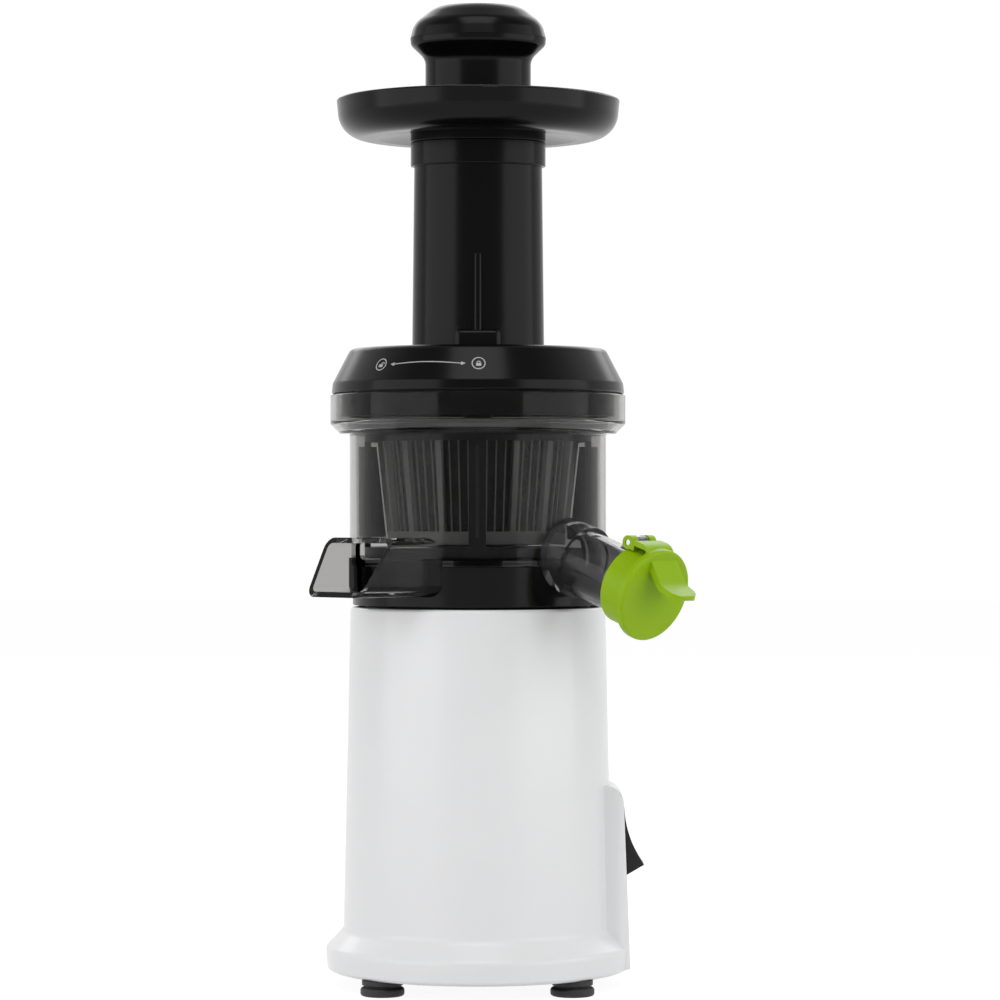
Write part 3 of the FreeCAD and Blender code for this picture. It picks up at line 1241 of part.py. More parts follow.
def pusher_cap():
    """Domed cap that closes the knob."""
    z_seam = z_knob_top - KNOB_SEAM
    inside = PUSHER_NECK_HALF - PUSHER_WALL - 6.4
    return oval(revolve([(0, z_seam - 3, 0), (inside, z_seam - 3, 0.5), (inside, z_seam, 0),
                         (KNOB_HALF, z_seam, 0.2),
                         (KNOB_HALF - 1.8, z_knob_top - 8.0, 8.0),
                         (KNOB_HALF - 10.8, z_knob_top - 1.0, 13.0),
                         (0, z_knob_top, 0)]))


PIECES = [motor_housing, cord_gland, top_deck, deck_seal, base_plate, base_screws, rubber_feet,
          switch_frame,
          switch_rocker, rocker_pin, switch_body, motor_can, motor_lower_bell, motor_bearings,
          motor_stator, motor_mounts,
          rotor_shaft, rotor_core, cooling_fan, motor_pinion, lay_gear, lay_pinion, layshaft,
          layshaft_bushes,
          output_gear, drive_shaft, drive_bearing, gearbox_case, gearbox_cover, gearbox_screws,
          control_board,
          interlock_switch, bowl, juice_spout, bowl_base, bowl_seal, idler_pin, strainer_frame,
          strainer_screen, brush_frame,
          brush_blades, brush_idler, auger, auger_gear, auger_pin, juice_cap, cap_pin, lid, auger_bush,
          lid_seal,
          lid_magnet, feed_chute, feed_tray, pusher_body, pusher_cap]


def main():
    """Builds every piece and writes one file for each."""
    os.makedirs("parts", exist_ok=True)
    for make in PIECES:
        shape = make()
        for solid in shape.Solids:
            if not solid.isValid() or solid.Volume <= 0:
                print("check", make.__name__, solid.isValid(), solid.Volume)
        print(make.__name__, len(shape.Solids), round(shape.Volume, 1))
        shape.exportStep(os.path.join("parts", make.__name__ + ".step"))


main()
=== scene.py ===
"""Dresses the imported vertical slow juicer: finishes, printed marks, strainer ribs, studio and camera."""
import json
import logging
import math
from dataclasses import dataclass, field
from enum import Enum
from typing import Callable, Dict, List, Sequence, Tuple

import bmesh
import bpy
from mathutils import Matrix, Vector


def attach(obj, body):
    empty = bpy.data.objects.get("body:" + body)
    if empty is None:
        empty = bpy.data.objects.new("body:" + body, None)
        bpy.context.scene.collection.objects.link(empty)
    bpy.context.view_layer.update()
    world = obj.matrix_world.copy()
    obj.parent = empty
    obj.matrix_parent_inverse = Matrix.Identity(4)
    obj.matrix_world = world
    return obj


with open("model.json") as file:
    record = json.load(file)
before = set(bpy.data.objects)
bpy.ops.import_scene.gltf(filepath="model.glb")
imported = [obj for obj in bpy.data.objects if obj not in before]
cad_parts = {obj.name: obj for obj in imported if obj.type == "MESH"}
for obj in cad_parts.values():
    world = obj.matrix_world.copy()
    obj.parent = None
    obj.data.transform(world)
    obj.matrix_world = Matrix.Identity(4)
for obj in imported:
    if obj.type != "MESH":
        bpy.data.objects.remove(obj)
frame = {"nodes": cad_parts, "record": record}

LOG = logging.getLogger("juicer")
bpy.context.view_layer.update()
MOULD_RELIEF = 0.0004
METAL_RELIEF = 0.0002
COAT_ROUGHNESS = 0.04
METAL_SMEAR_SCALE = 90.0
FILM_LIFT = 0.00001
MERGE_DISTANCE = 1e-7
SENSOR_WIDTH = 36.0
Colour = Tuple[float, float, float]
Point2 = Tuple[float, float]
Mapper = Callable[[float, float, float], Vector]


class Slot(Enum):
    """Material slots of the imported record."""

    WHITE = "white_gloss"
    BLACK_GLOSS = "black_gloss"
    BLACK_MATTE = "black_matte"
    SMOKED = "smoked_clear"
    SMOKED_DARK = "smoked_dark"
    GREEN = "green_gloss"
    RUBBER = "black_rubber"
    SILICONE = "grey_silicone"
    GREY = "grey_moulding"
    ALLOY = "cast_alloy"
    IRON = "lamination_iron"
    BRONZE = "bronze"
    ACETAL = "acetal"
    BOARD = "board_green"
    STEEL = "steel"


class Socket(Enum):
    """Socket kinds used by the node groups."""

    VALUE = "NodeSocketFloat"
    GEOMETRY = "NodeSocketGeometry"
    COUNT = "NodeSocketInt"
    MATERIAL = "NodeSocketMaterial"


# Node helpers


def add_socket(tree: bpy.types.NodeTree, name: str, way: str,
               kind: Socket) -> bpy.types.NodeTreeInterfaceSocket:
    """Adds one socket to a group's interface.

    Args:
        tree: The node group.
        name: Name of the socket.
        way: INPUT or OUTPUT.
        kind: Kind of socket.

    Returns:
        The new interface socket.
    """
    return tree.interface.new_socket(name, in_out=way, socket_type=kind.value)


def add_values(tree: bpy.types.NodeTree, values: Dict[str, float]) -> None:
    """Adds number inputs with their defaults.

    Args:
        tree: The node group.
        values: Defaults by name of the input.
    """
    for name, value in values.items():
        add_socket(tree, name, "INPUT", Socket.VALUE).default_value = value


def arithmetic(tree: bpy.types.NodeTree, operation: str, first: object,
               second: object) -> bpy.types.NodeSocket:
    """One arithmetic node.

    Args:
        tree: The tree to add it to.
        operation: Name of the operation.
        first: Number or socket.
        second: Number or socket.

    Returns:
        The node's output.
    """
    node = tree.nodes.new("ShaderNodeMath")
    node.operation = operation
    for slot, value in zip(node.inputs, (first, second)):
        if isinstance(value, (int, float)):
            slot.default_value = value
        else:
            tree.links.new(value, slot)
    return node.outputs[0]


def link_mesh(name: str, mesh: bpy.types.Mesh) -> bpy.types.Object:
    """Puts a mesh into the scene as an object at the origin.

    Args:
        name: Name of the object.
        mesh: Its mesh.

    Returns:
        The linked object.
    """
    piece = bpy.data.objects.new(name, mesh)
    bpy.context.scene.collection.objects.link(piece)
    return piece


# Shared shader groups


class SkinGroup:
    """Moulded surface: fine spark-eroded grain, slow orange peel and a cloudy mask."""

    NAME = "moulded_skin"

    @classmethod
    def tree(cls) -> bpy.types.NodeTree:
        """Returns the group, building it once.

        Returns:
            The shader node group with Height and Cloud outputs.
        """
        if cls.NAME in bpy.data.node_groups:
            return bpy.data.node_groups[cls.NAME]
        tree = bpy.data.node_groups.new(cls.NAME, "ShaderNodeTree")
        add_values(tree, {"Grain Scale": 2600.0, "Peel Scale": 160.0, "Peel Share": 0.6, "Cloud Scale": 18.0})
        add_socket(tree, "Height", "OUTPUT", Socket.VALUE)
        add_socket(tree, "Cloud", "OUTPUT", Socket.VALUE)
        nodes, links = tree.nodes, tree.links
        entry, leave = nodes.new("NodeGroupInput"), nodes.new("NodeGroupOutput")
        where = nodes.new("ShaderNodeTexCoord")
        outputs = []
        for socket, detail in (("Grain Scale", 2.0), ("Peel Scale", 1.0), ("Cloud Scale", 3.0)):
            noise = nodes.new("ShaderNodeTexNoise")
            noise.inputs["Detail"].default_value = detail
            links.new(where.outputs["Object"], noise.inputs["Vector"])
            links.new(entry.outputs[socket], noise.inputs["Scale"])
            outputs.append(noise.outputs["Fac"])
        blend = nodes.new("ShaderNodeMix")
        links.new(entry.outputs["Peel Share"], blend.inputs["Factor"])
        links.new(outputs[0], blend.inputs["A"])
        links.new(outputs[1], blend.inputs["B"])
        links.new(blend.outputs["Result"], leave.inputs["Height"])
        links.new(outputs[2], leave.inputs["Cloud"])
        return tree


class HandlingGroup:
    """Wiped and handled gloss: smears that lift the roughness, with a few finer specks."""

    NAME = "handling_smears"

    @classmethod
    def tree(cls) -> bpy.types.NodeTree:
        """Returns the group, building it once.

        Returns:
            The shader node group with a Smear output between 0 and 1.
        """
        if cls.NAME in bpy.data.node_groups:
            return bpy.data.node_groups[cls.NAME]
        tree = bpy.data.node_groups.new(cls.NAME, "ShaderNodeTree")
        add_values(tree, {"Smear Scale": 26.0, "Stretch": 0.35})
        add_socket(tree, "Smear", "OUTPUT", Socket.VALUE)
        nodes, links = tree.nodes, tree.links
        entry, leave = nodes.new("NodeGroupInput"), nodes.new("NodeGroupOutput")
        where = nodes.new("ShaderNodeTexCoord")
        squeeze = nodes.new("ShaderNodeCombineXYZ")
        squeeze.inputs["X"].default_value = 1.0
        squeeze.inputs["Y"].default_value = 1.0
        links.new(entry.outputs["Stretch"], squeeze.inputs["Z"])
        product = nodes.new("ShaderNodeVectorMath")
        product.operation = "MULTIPLY"
        links.new(where.outputs["Object"], product.inputs[0])
        links.new(squeeze.outputs["Vector"], product.inputs[1])
        noise = nodes.new("ShaderNodeTexNoise")
        noise.inputs["Detail"].default_value = 5.0
        noise.inputs["Roughness"].default_value = 0.62
        links.new(product.outputs["Vector"], noise.inputs["Vector"])
        links.new(entry.outputs["Smear Scale"], noise.inputs["Scale"])
        shape = nodes.new("ShaderNodeMapRange")
        shape.inputs["From Min"].default_value = 0.38
        shape.inputs["From Max"].default_value = 0.72
        links.new(noise.outputs["Fac"], shape.inputs["Value"])
        links.new(shape.outputs["Result"], leave.inputs["Smear"])
        return tree


class BrushGroup:
    """Turned or rolled metal: fine lines across one axis."""

    NAME = "turned_lines"

    @classmethod
    def tree(cls) -> bpy.types.NodeTree:
        """Returns the group, building it once.

        Returns:
            The shader node group with a Lines output between 0 and 1.
        """
        if cls.NAME in bpy.data.node_groups:
            return bpy.data.node_groups[cls.NAME]
        tree = bpy.data.node_groups.new(cls.NAME, "ShaderNodeTree")
        add_values(tree, {"Line Scale": 900.0})
        add_socket(tree, "Lines", "OUTPUT", Socket.VALUE)
        nodes, links = tree.nodes, tree.links
        entry, leave = nodes.new("NodeGroupInput"), nodes.new("NodeGroupOutput")
        where = nodes.new("ShaderNodeTexCoord")
        squeeze = nodes.new("ShaderNodeVectorMath")
        squeeze.operation = "MULTIPLY"
        squeeze.inputs[1].default_value = (0.06, 0.06, 1.0)
        links.new(where.outputs["Object"], squeeze.inputs[0])
        noise = nodes.new("ShaderNodeTexNoise")
        noise.inputs["Detail"].default_value = 3.0
        links.new(squeeze.outputs["Vector"], noise.inputs["Vector"])
        links.new(entry.outputs["Line Scale"], noise.inputs["Scale"])
        links.new(noise.outputs["Fac"], leave.inputs["Lines"])
        return tree


class ThickGroup:
    """Marks the thick floor of a clear moulding, where light has a long way through."""

    NAME = "thick_section"

    @classmethod
    def tree(cls) -> bpy.types.NodeTree:
        """Returns the group, building it once.

        Returns:
            The shader node group with a Mask output of 1 in the floor.
        """
        if cls.NAME in bpy.data.node_groups:
            return bpy.data.node_groups[cls.NAME]
        tree = bpy.data.node_groups.new(cls.NAME, "ShaderNodeTree")
        add_values(tree, {"Top": 0.178, "Reach": 0.057})
        add_socket(tree, "Mask", "OUTPUT", Socket.VALUE)
        nodes, links = tree.nodes, tree.links
        entry, leave = nodes.new("NodeGroupInput"), nodes.new("NodeGroupOutput")
        where = nodes.new("ShaderNodeTexCoord")
        flat = nodes.new("ShaderNodeVectorMath")
        flat.operation = "MULTIPLY"
        flat.inputs[1].default_value = (1.0, 1.0, 0.0)
        links.new(where.outputs["Object"], flat.inputs[0])
        radius = nodes.new("ShaderNodeVectorMath")
        radius.operation = "LENGTH"
        links.new(flat.outputs["Vector"], radius.inputs[0])
        height = nodes.new("ShaderNodeSeparateXYZ")
        links.new(where.outputs["Object"], height.inputs["Vector"])
        below = arithmetic(tree, "LESS_THAN", height.outputs["Z"], entry.outputs["Top"])
        within = arithmetic(tree, "LESS_THAN", radius.outputs["Value"], entry.outputs["Reach"])
        links.new(arithmetic(tree, "MULTIPLY", below, within), leave.inputs["Mask"])
        return tree


# Finishes


def shade_mix(tree: bpy.types.NodeTree, mask: bpy.types.NodeSocket, low: Colour,
              high: Colour) -> bpy.types.NodeSocket:
    """Mixes two colours by a mask.

    Args:
        tree: The material's node tree.
        mask: Socket that varies between 0 and 1.
        low: Colour where the mask is 0.
        high: Colour where the mask is 1.

    Returns:
        The colour output.
    """
    node = tree.nodes.new("ShaderNodeMix")
    node.data_type = "RGBA"
    node.inputs["A"].default_value = (*low, 1.0)
    node.inputs["B"].default_value = (*high, 1.0)
    tree.links.new(mask, node.inputs["Factor"])
    return node.outputs["Result"]


def span(tree: bpy.types.NodeTree, mask: bpy.types.NodeSocket, low: float,
         high: float) -> bpy.types.NodeSocket:
    """Maps a 0 to 1 mask onto a range.

    Args:
        tree: The material's node tree.
        mask: Socket that varies between 0 and 1.
        low: Value where the mask is 0.
        high: Value where the mask is 1.

    Returns:
        The value output.
    """
    node = tree.nodes.new("ShaderNodeMapRange")
    node.inputs["To Min"].default_value = low
    node.inputs["To Max"].default_value = high
    tree.links.new(mask, node.inputs["Value"])
    return node.outputs["Result"]


@dataclass(frozen=True)
class MouldedFinish:
    """Injection-moulded plastic or rubber."""

    name: str
    colour: Colour
    cloud: Colour
    gloss: Tuple[float, float]
    coat: float = 0.0
    grain_scale: float = 2600.0
    peel_share: float = 0.6
    bump: float = 0.05
    smear_scale: float = 26.0
    clear: float = 0.0
    ior: float = 1.49

    def build(self) -> bpy.types.Material:
        """Makes the material.

        Returns:
            The new material.
        """
        material = bpy.data.materials.new(self.name)
        material.use_nodes = True
        tree = material.node_tree
        shader = tree.nodes["Principled BSDF"]
        skin = tree.nodes.new("ShaderNodeGroup")
        skin.node_tree = SkinGroup.tree()
        skin.inputs["Grain Scale"].default_value = self.grain_scale
        skin.inputs["Peel Share"].default_value = self.peel_share
        smear = tree.nodes.new("ShaderNodeGroup")
        smear.node_tree = HandlingGroup.tree()
        smear.inputs["Smear Scale"].default_value = self.smear_scale
        tint = shade_mix(tree, skin.outputs["Cloud"], self.colour, self.cloud)
        tree.links.new(tint, shader.inputs["Base Color"])
        tree.links.new(span(tree, smear.outputs["Smear"], *self.gloss), shader.inputs["Roughness"])
        bump = tree.nodes.new("ShaderNodeBump")
        bump.inputs["Strength"].default_value = self.bump
        bump.inputs["Distance"].default_value = MOULD_RELIEF
        tree.links.new(skin.outputs["Height"], bump.inputs["Height"])
        tree.links.new(bump.outputs["Normal"], shader.inputs["Normal"])
        shader.inputs["IOR"].default_value = self.ior
        shader.inputs["Coat Weight"].default_value = self.coat
        shader.inputs["Coat Roughness"].default_value = COAT_ROUGHNESS
        shader.inputs["Transmission Weight"].default_value = self.clear
        return material


@dataclass(frozen=True)
class SmokedFinish(MouldedFinish):
    """Clear smoked plastic whose thick floor takes up more light than its walls."""

    floor_colour: Colour = (0.03, 0.03, 0.03)
    floor_top: float = 0.1782
    floor_reach: float = 0.0575

    def build(self) -> bpy.types.Material:
        """Makes the material.

        Returns:
            The new material.
        """
        material = super().build()
        tree = material.node_tree
        shader = tree.nodes["Principled BSDF"]
        wall = shader.inputs["Base Color"].links[0].from_socket
        thick = tree.nodes.new("ShaderNodeGroup")
        thick.node_tree = ThickGroup.tree()
        thick.inputs["Top"].default_value = self.floor_top
        thick.inputs["Reach"].default_value = self.floor_reach
        tint = tree.nodes.new("ShaderNodeMix")
        tint.data_type = "RGBA"
        tint.inputs["B"].default_value = (*self.floor_colour, 1.0)
        tree.links.new(thick.outputs["Mask"], tint.inputs["Factor"])
        tree.links.new(wall, tint.inputs["A"])
        tree.links.new(tint.outputs["Result"], shader.inputs["Base Color"])
        return material


@dataclass(frozen=True)
class MetalFinish:
    """Turned, rolled or cast metal."""

    name: str
    colour: Colour
    worn: Colour
    gloss: Tuple[float, float]
    line_scale: float = 900.0
    bump: float = 0.08

    def build(self) -> bpy.types.Material:
        """Makes the material.

        Returns:
            The new material.
        """
        material = bpy.data.materials.new(self.name)
        material.use_nodes = True
        tree = material.node_tree
        shader = tree.nodes["Principled BSDF"]
        lines = tree.nodes.new("ShaderNodeGroup")
        lines.node_tree = BrushGroup.tree()
        lines.inputs["Line Scale"].default_value = self.line_scale
        smear = tree.nodes.new("ShaderNodeGroup")
        smear.node_tree = HandlingGroup.tree()
        smear.inputs["Smear Scale"].default_value = METAL_SMEAR_SCALE
        tint = shade_mix(tree, smear.outputs["Smear"], self.colour, self.worn)
        tree.links.new(tint, shader.inputs["Base Color"])
        tree.links.new(span(tree, lines.outputs["Lines"], *self.gloss), shader.inputs["Roughness"])
        bump = tree.nodes.new("ShaderNodeBump")
        bump.inputs["Strength"].default_value = self.bump
        bump.inputs["Distance"].default_value = METAL_RELIEF
        tree.links.new(lines.outputs["Lines"], bump.inputs["Height"])
        tree.links.new(bump.outputs["Normal"], shader.inputs["Normal"])
        shader.inputs["Metallic"].default_value = 1.0
        return material


def finish_book() -> Dict[Slot, bpy.types.Material]:
    """Builds one material for each slot.

    Returns:
        Materials by slot.
    """
    finishes = {
        Slot.WHITE: MouldedFinish("pearl_white_shell", (0.80, 0.80, 0.81), (0.76, 0.765, 0.775),
                                  (0.29, 0.33), coat=0.15, bump=0.03),
        Slot.BLACK_GLOSS: MouldedFinish("black_gloss_moulding", (0.002, 0.002, 0.0023),
                                        (0.003, 0.003, 0.0034), (0.19, 0.23), bump=0.03, ior=1.25),
        Slot.BLACK_MATTE: MouldedFinish("black_satin_moulding", (0.012, 0.012, 0.013), (0.017, 0.017, 0.018),
                                        (0.34, 0.46), grain_scale=1800.0, peel_share=0.25, bump=0.12,
                                        ior=1.36),
        Slot.SMOKED: SmokedFinish("smoked_clear_moulding", (0.42, 0.415, 0.41), (0.40, 0.395, 0.39),
                                  (0.01, 0.04), bump=0.0, clear=1.0, ior=1.2),
        Slot.SMOKED_DARK: MouldedFinish("dark_smoked_moulding", (0.28, 0.28, 0.28), (0.26, 0.26, 0.26),
                                        (0.05, 0.1), bump=0.0, clear=0.95, ior=1.25),
        Slot.GREY: MouldedFinish("grey_moulding", (0.30, 0.30, 0.30), (0.26, 0.26, 0.26), (0.3, 0.4),
                                 bump=0.03),
        Slot.GREEN: MouldedFinish("leaf_green_moulding", (0.275, 0.455, 0.003), (0.255, 0.425, 0.003),
                                  (0.30, 0.40), bump=0.03, ior=1.26),
        Slot.RUBBER: MouldedFinish("black_rubber", (0.012, 0.012, 0.012), (0.02, 0.02, 0.02), (0.55, 0.7),
                                   grain_scale=1400.0, peel_share=0.2, bump=0.2),
        Slot.SILICONE: MouldedFinish("grey_silicone", (0.035, 0.035, 0.036), (0.05, 0.05, 0.05), (0.42, 0.55),
                                     grain_scale=1600.0, peel_share=0.3, bump=0.1),
        Slot.ACETAL: MouldedFinish("acetal_gear", (0.72, 0.71, 0.66), (0.66, 0.65, 0.6), (0.36, 0.5),
                                   bump=0.06),
        Slot.BOARD: MouldedFinish("circuit_board", (0.025, 0.15, 0.05), (0.02, 0.11, 0.04), (0.3, 0.45),
                                  bump=0.1),
        Slot.ALLOY: MetalFinish("cast_alloy", (0.52, 0.53, 0.54), (0.44, 0.45, 0.46), (0.4, 0.58),
                                line_scale=300.0, bump=0.2),
        Slot.IRON: MetalFinish("stacked_laminations", (0.24, 0.24, 0.25), (0.17, 0.17, 0.18), (0.38, 0.6),
                               line_scale=2200.0, bump=0.4),
        Slot.BRONZE: MetalFinish("sintered_bronze", (0.55, 0.36, 0.17), (0.44, 0.28, 0.13), (0.35, 0.5)),
        Slot.STEEL: MetalFinish("turned_steel", (0.58, 0.59, 0.60), (0.5, 0.51, 0.52), (0.2, 0.36)),
    }
    return {slot: finish.build() for slot, finish in finishes.items()}


def dress_nodes(book: Dict[Slot, bpy.types.Material]) -> None:
    """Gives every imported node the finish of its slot.

    Args:
        book: Materials by slot.
    """
    slot_of = {entry["node"]: Slot(entry["material_slot"]) for entry in frame["record"]["subparts"]}
    for name, node in frame["nodes"].items():
        node.data.materials.clear()
        node.data.materials.append(book[slot_of[name]])
        LOG.info("node %s wears %s", name, slot_of[name].value)


# Mesh helpers


def mesh_piece(name: str, work: bmesh.types.BMesh, material: bpy.types.Material) -> bpy.types.Object:
    """Turns a bmesh into an object at the origin.

    Args:
        name: Name of the piece.
        work: The geometry, freed afterwards.
        material: Finish of the piece.

    Returns:
        The linked object.
    """
    bmesh.ops.remove_doubles(work, verts=work.verts, dist=MERGE_DISTANCE)
    bmesh.ops.recalc_face_normals(work, faces=work.faces)
    mesh = bpy.data.meshes.new(name)
    work.to_mesh(mesh)
    work.free()
    mesh.materials.append(material)
    return link_mesh(name, mesh)


@dataclass
class PrintedMark:
    """Thin ink strokes laid on a curved surface."""

    name: str
    place: Mapper
    thickness: float = 0.00006
    strokes: List[List[Point2]] = field(default_factory=list)
    widths: List[float] = field(default_factory=list)
    patches: List[List[Point2]] = field(default_factory=list)

    def stroke(self, path: Sequence[Point2], width: float) -> None:
        """Adds a line of even width along a path in the mark's own plane."""
        self.strokes.append(list(path))
        self.widths.append(width)

    def arc(self, centre: Point2, radius: float, begin: float, finish: float, width: float,
            steps: int = 28) -> None:
        """Adds a circular stroke.

        Args:
            centre: Centre in the mark's plane, metres.
            radius: Radius, metres.
            begin: First angle, degrees.
            finish: Last angle, degrees.
            width: Stroke width, metres.
            steps: Number of straight runs.
        """
        path = []
        for i in range(steps + 1):
            angle = math.radians(begin + (finish - begin) * i / steps)
            path.append((centre[0] + radius * math.cos(angle), centre[1] + radius * math.sin(angle)))
        self.stroke(path, width)

    def patch(self, corners: Sequence[Point2]) -> None:
        """Adds a filled convex patch."""
        self.patches.append(list(corners))

    def quads(self) -> List[List[Point2]]:
        """Splits the strokes into four-cornered cells.

        Returns:
            Cells in the mark's plane.
        """
        cells = []
        for path, width in zip(self.strokes, self.widths):
            sides = []
            for i, here in enumerate(path):
                before, after = path[max(i - 1, 0)], path[min(i + 1, len(path) - 1)]
                way = Vector((after[0] - before[0], after[1] - before[1]))
                way.normalize()
                across = Vector((-way.y, way.x)) * width / 2
                sides.append(((here[0] - across.x, here[1] - across.y),
                              (here[0] + across.x, here[1] + across.y)))
            for first, second in zip(sides, sides[1:]):
                cells.append([first[0], second[0], second[1], first[1]])
        return cells

    def build(self, material: bpy.types.Material) -> bpy.types.Object:
        """Lays the strokes on the surface as one thin closed film.

        Args:
            material: Ink finish.

        Returns:
            The new piece.
        """
        work = bmesh.new()
        for cell in self.quads() + self.patches:
            low = [work.verts.new(self.place(u, v, FILM_LIFT)) for u, v in cell]
            high = [work.verts.new(self.place(u, v, self.thickness)) for u, v in cell]
            work.faces.new(high)
            work.faces.new(list(reversed(low)))
            for i in range(len(cell)):
                j = (i + 1) % len(cell)
                work.faces.new([low[i], low[j], high[j], high[i]])
        mesh = bpy.data.meshes.new(self.name)
        work.to_mesh(mesh)
        work.free()
        mesh.materials.append(material)
        return link_mesh(self.name, mesh)


# Sub-assemblies


@dataclass
class TwistLid:
    """Lock marks printed on the lid's bevel."""

    bevel_low: Point2 = (0.0607, 0.2506)
    bevel_high: Point2 = (0.0532, 0.2650)
    mark_height: float = 0.2571
    mark_radius: float = 0.0026
    closed_turn: float = 0.6
    open_turn: float = -43.0
    line: float = 0.00042
    lock_half: float = 0.00105
    lock_low: float = -0.0012
    lock_high: float = 0.0001
    shackle_radius: float = 0.0007
    shackle_rise: float = 0.0001
    shackle_shift: float = 0.0009
    shackle_share: float = 0.85
    arrow_gap: float = 0.0052
    arrow_head: float = 0.0019
    arrow_half: float = 0.00085
    arrow_bow: float = 0.0009
    arrow_steps: int = 26

    def place(self, along: float, up: float, out: float) -> Vector:
        """Maps a flat mark onto the bevel's cone.

        Args:
            along: Distance round the bevel from the front, to the right, metres.
            up: Distance up the slope from the marks' line, metres.
            out: Distance off the surface, metres.

        Returns:
            The point in the part's frame.
        """
        (r0, z0), (r1, z1) = self.bevel_low, self.bevel_high
        slope = Vector((r1 - r0, z1 - z0)).normalized()
        share = (self.mark_height - z0) / (z1 - z0)
        radius = r0 + (r1 - r0) * share + slope.x * up + slope.y * out
        height = self.mark_height + slope.y * up - slope.x * out
        turn = along / (r0 + (r1 - r0) * share)
        return Vector((radius * math.sin(turn), -radius * math.cos(turn), height))

    def reach(self, degrees: float) -> float:
        """Distance round the bevel for a turn from the front."""
        (r0, z0), (r1, z1) = self.bevel_low, self.bevel_high
        share = (self.mark_height - z0) / (z1 - z0)
        return math.radians(degrees) * (r0 + (r1 - r0) * share)

    def padlock(self, mark: PrintedMark, centre: float, lifted: bool) -> None:
        """Draws a ring with a small padlock in it.

        Args:
            mark: The mark to draw on.
            centre: Distance round the bevel.
            lifted: True for the open lock.
        """
        mark.arc((centre, 0.0), self.mark_radius, 0, 360, self.line, steps=40)
        half, low, high = self.lock_half, self.lock_low, self.lock_high
        mark.patch([(centre - half, low), (centre + half, low), (centre + half, high), (centre - half, high)])
        shift = self.shackle_shift if lifted else 0.0
        foot = (centre + shift, high + self.shackle_rise)
        mark.arc(foot, self.shackle_radius, 0, 180, self.line * self.shackle_share, steps=12)

    def build(self, ink: bpy.types.Material) -> bpy.types.Object:
        """Prints the two locks and the double arrow.

        Args:
            ink: Ink finish.

        Returns:
            The printed film, riding on the lid.
        """
        mark = PrintedMark("lid_lock_marks", self.place)
        closed, opened = self.reach(self.closed_turn), self.reach(self.open_turn)
        self.padlock(mark, closed, False)
        self.padlock(mark, opened, True)
        head, half = self.arrow_head, self.arrow_half
        left, right = opened + self.arrow_gap, closed - self.arrow_gap
        length = right - left - 2 * head
        path = []
        for i in range(self.arrow_steps + 1):
            share = i / self.arrow_steps
            path.append((left + head + length * share, self.arrow_bow * math.sin(math.pi * share)))
        mark.stroke(path, self.line)
        for tip, way in ((left, 1), (right, -1)):
            mark.patch([(tip, 0.0), (tip + way * head, half), (tip + way * head, -half)][::way])
        piece = mark.build(ink)
        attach(piece, "lid")
        LOG.info("piece %s rides lid", piece.name)
        return piece


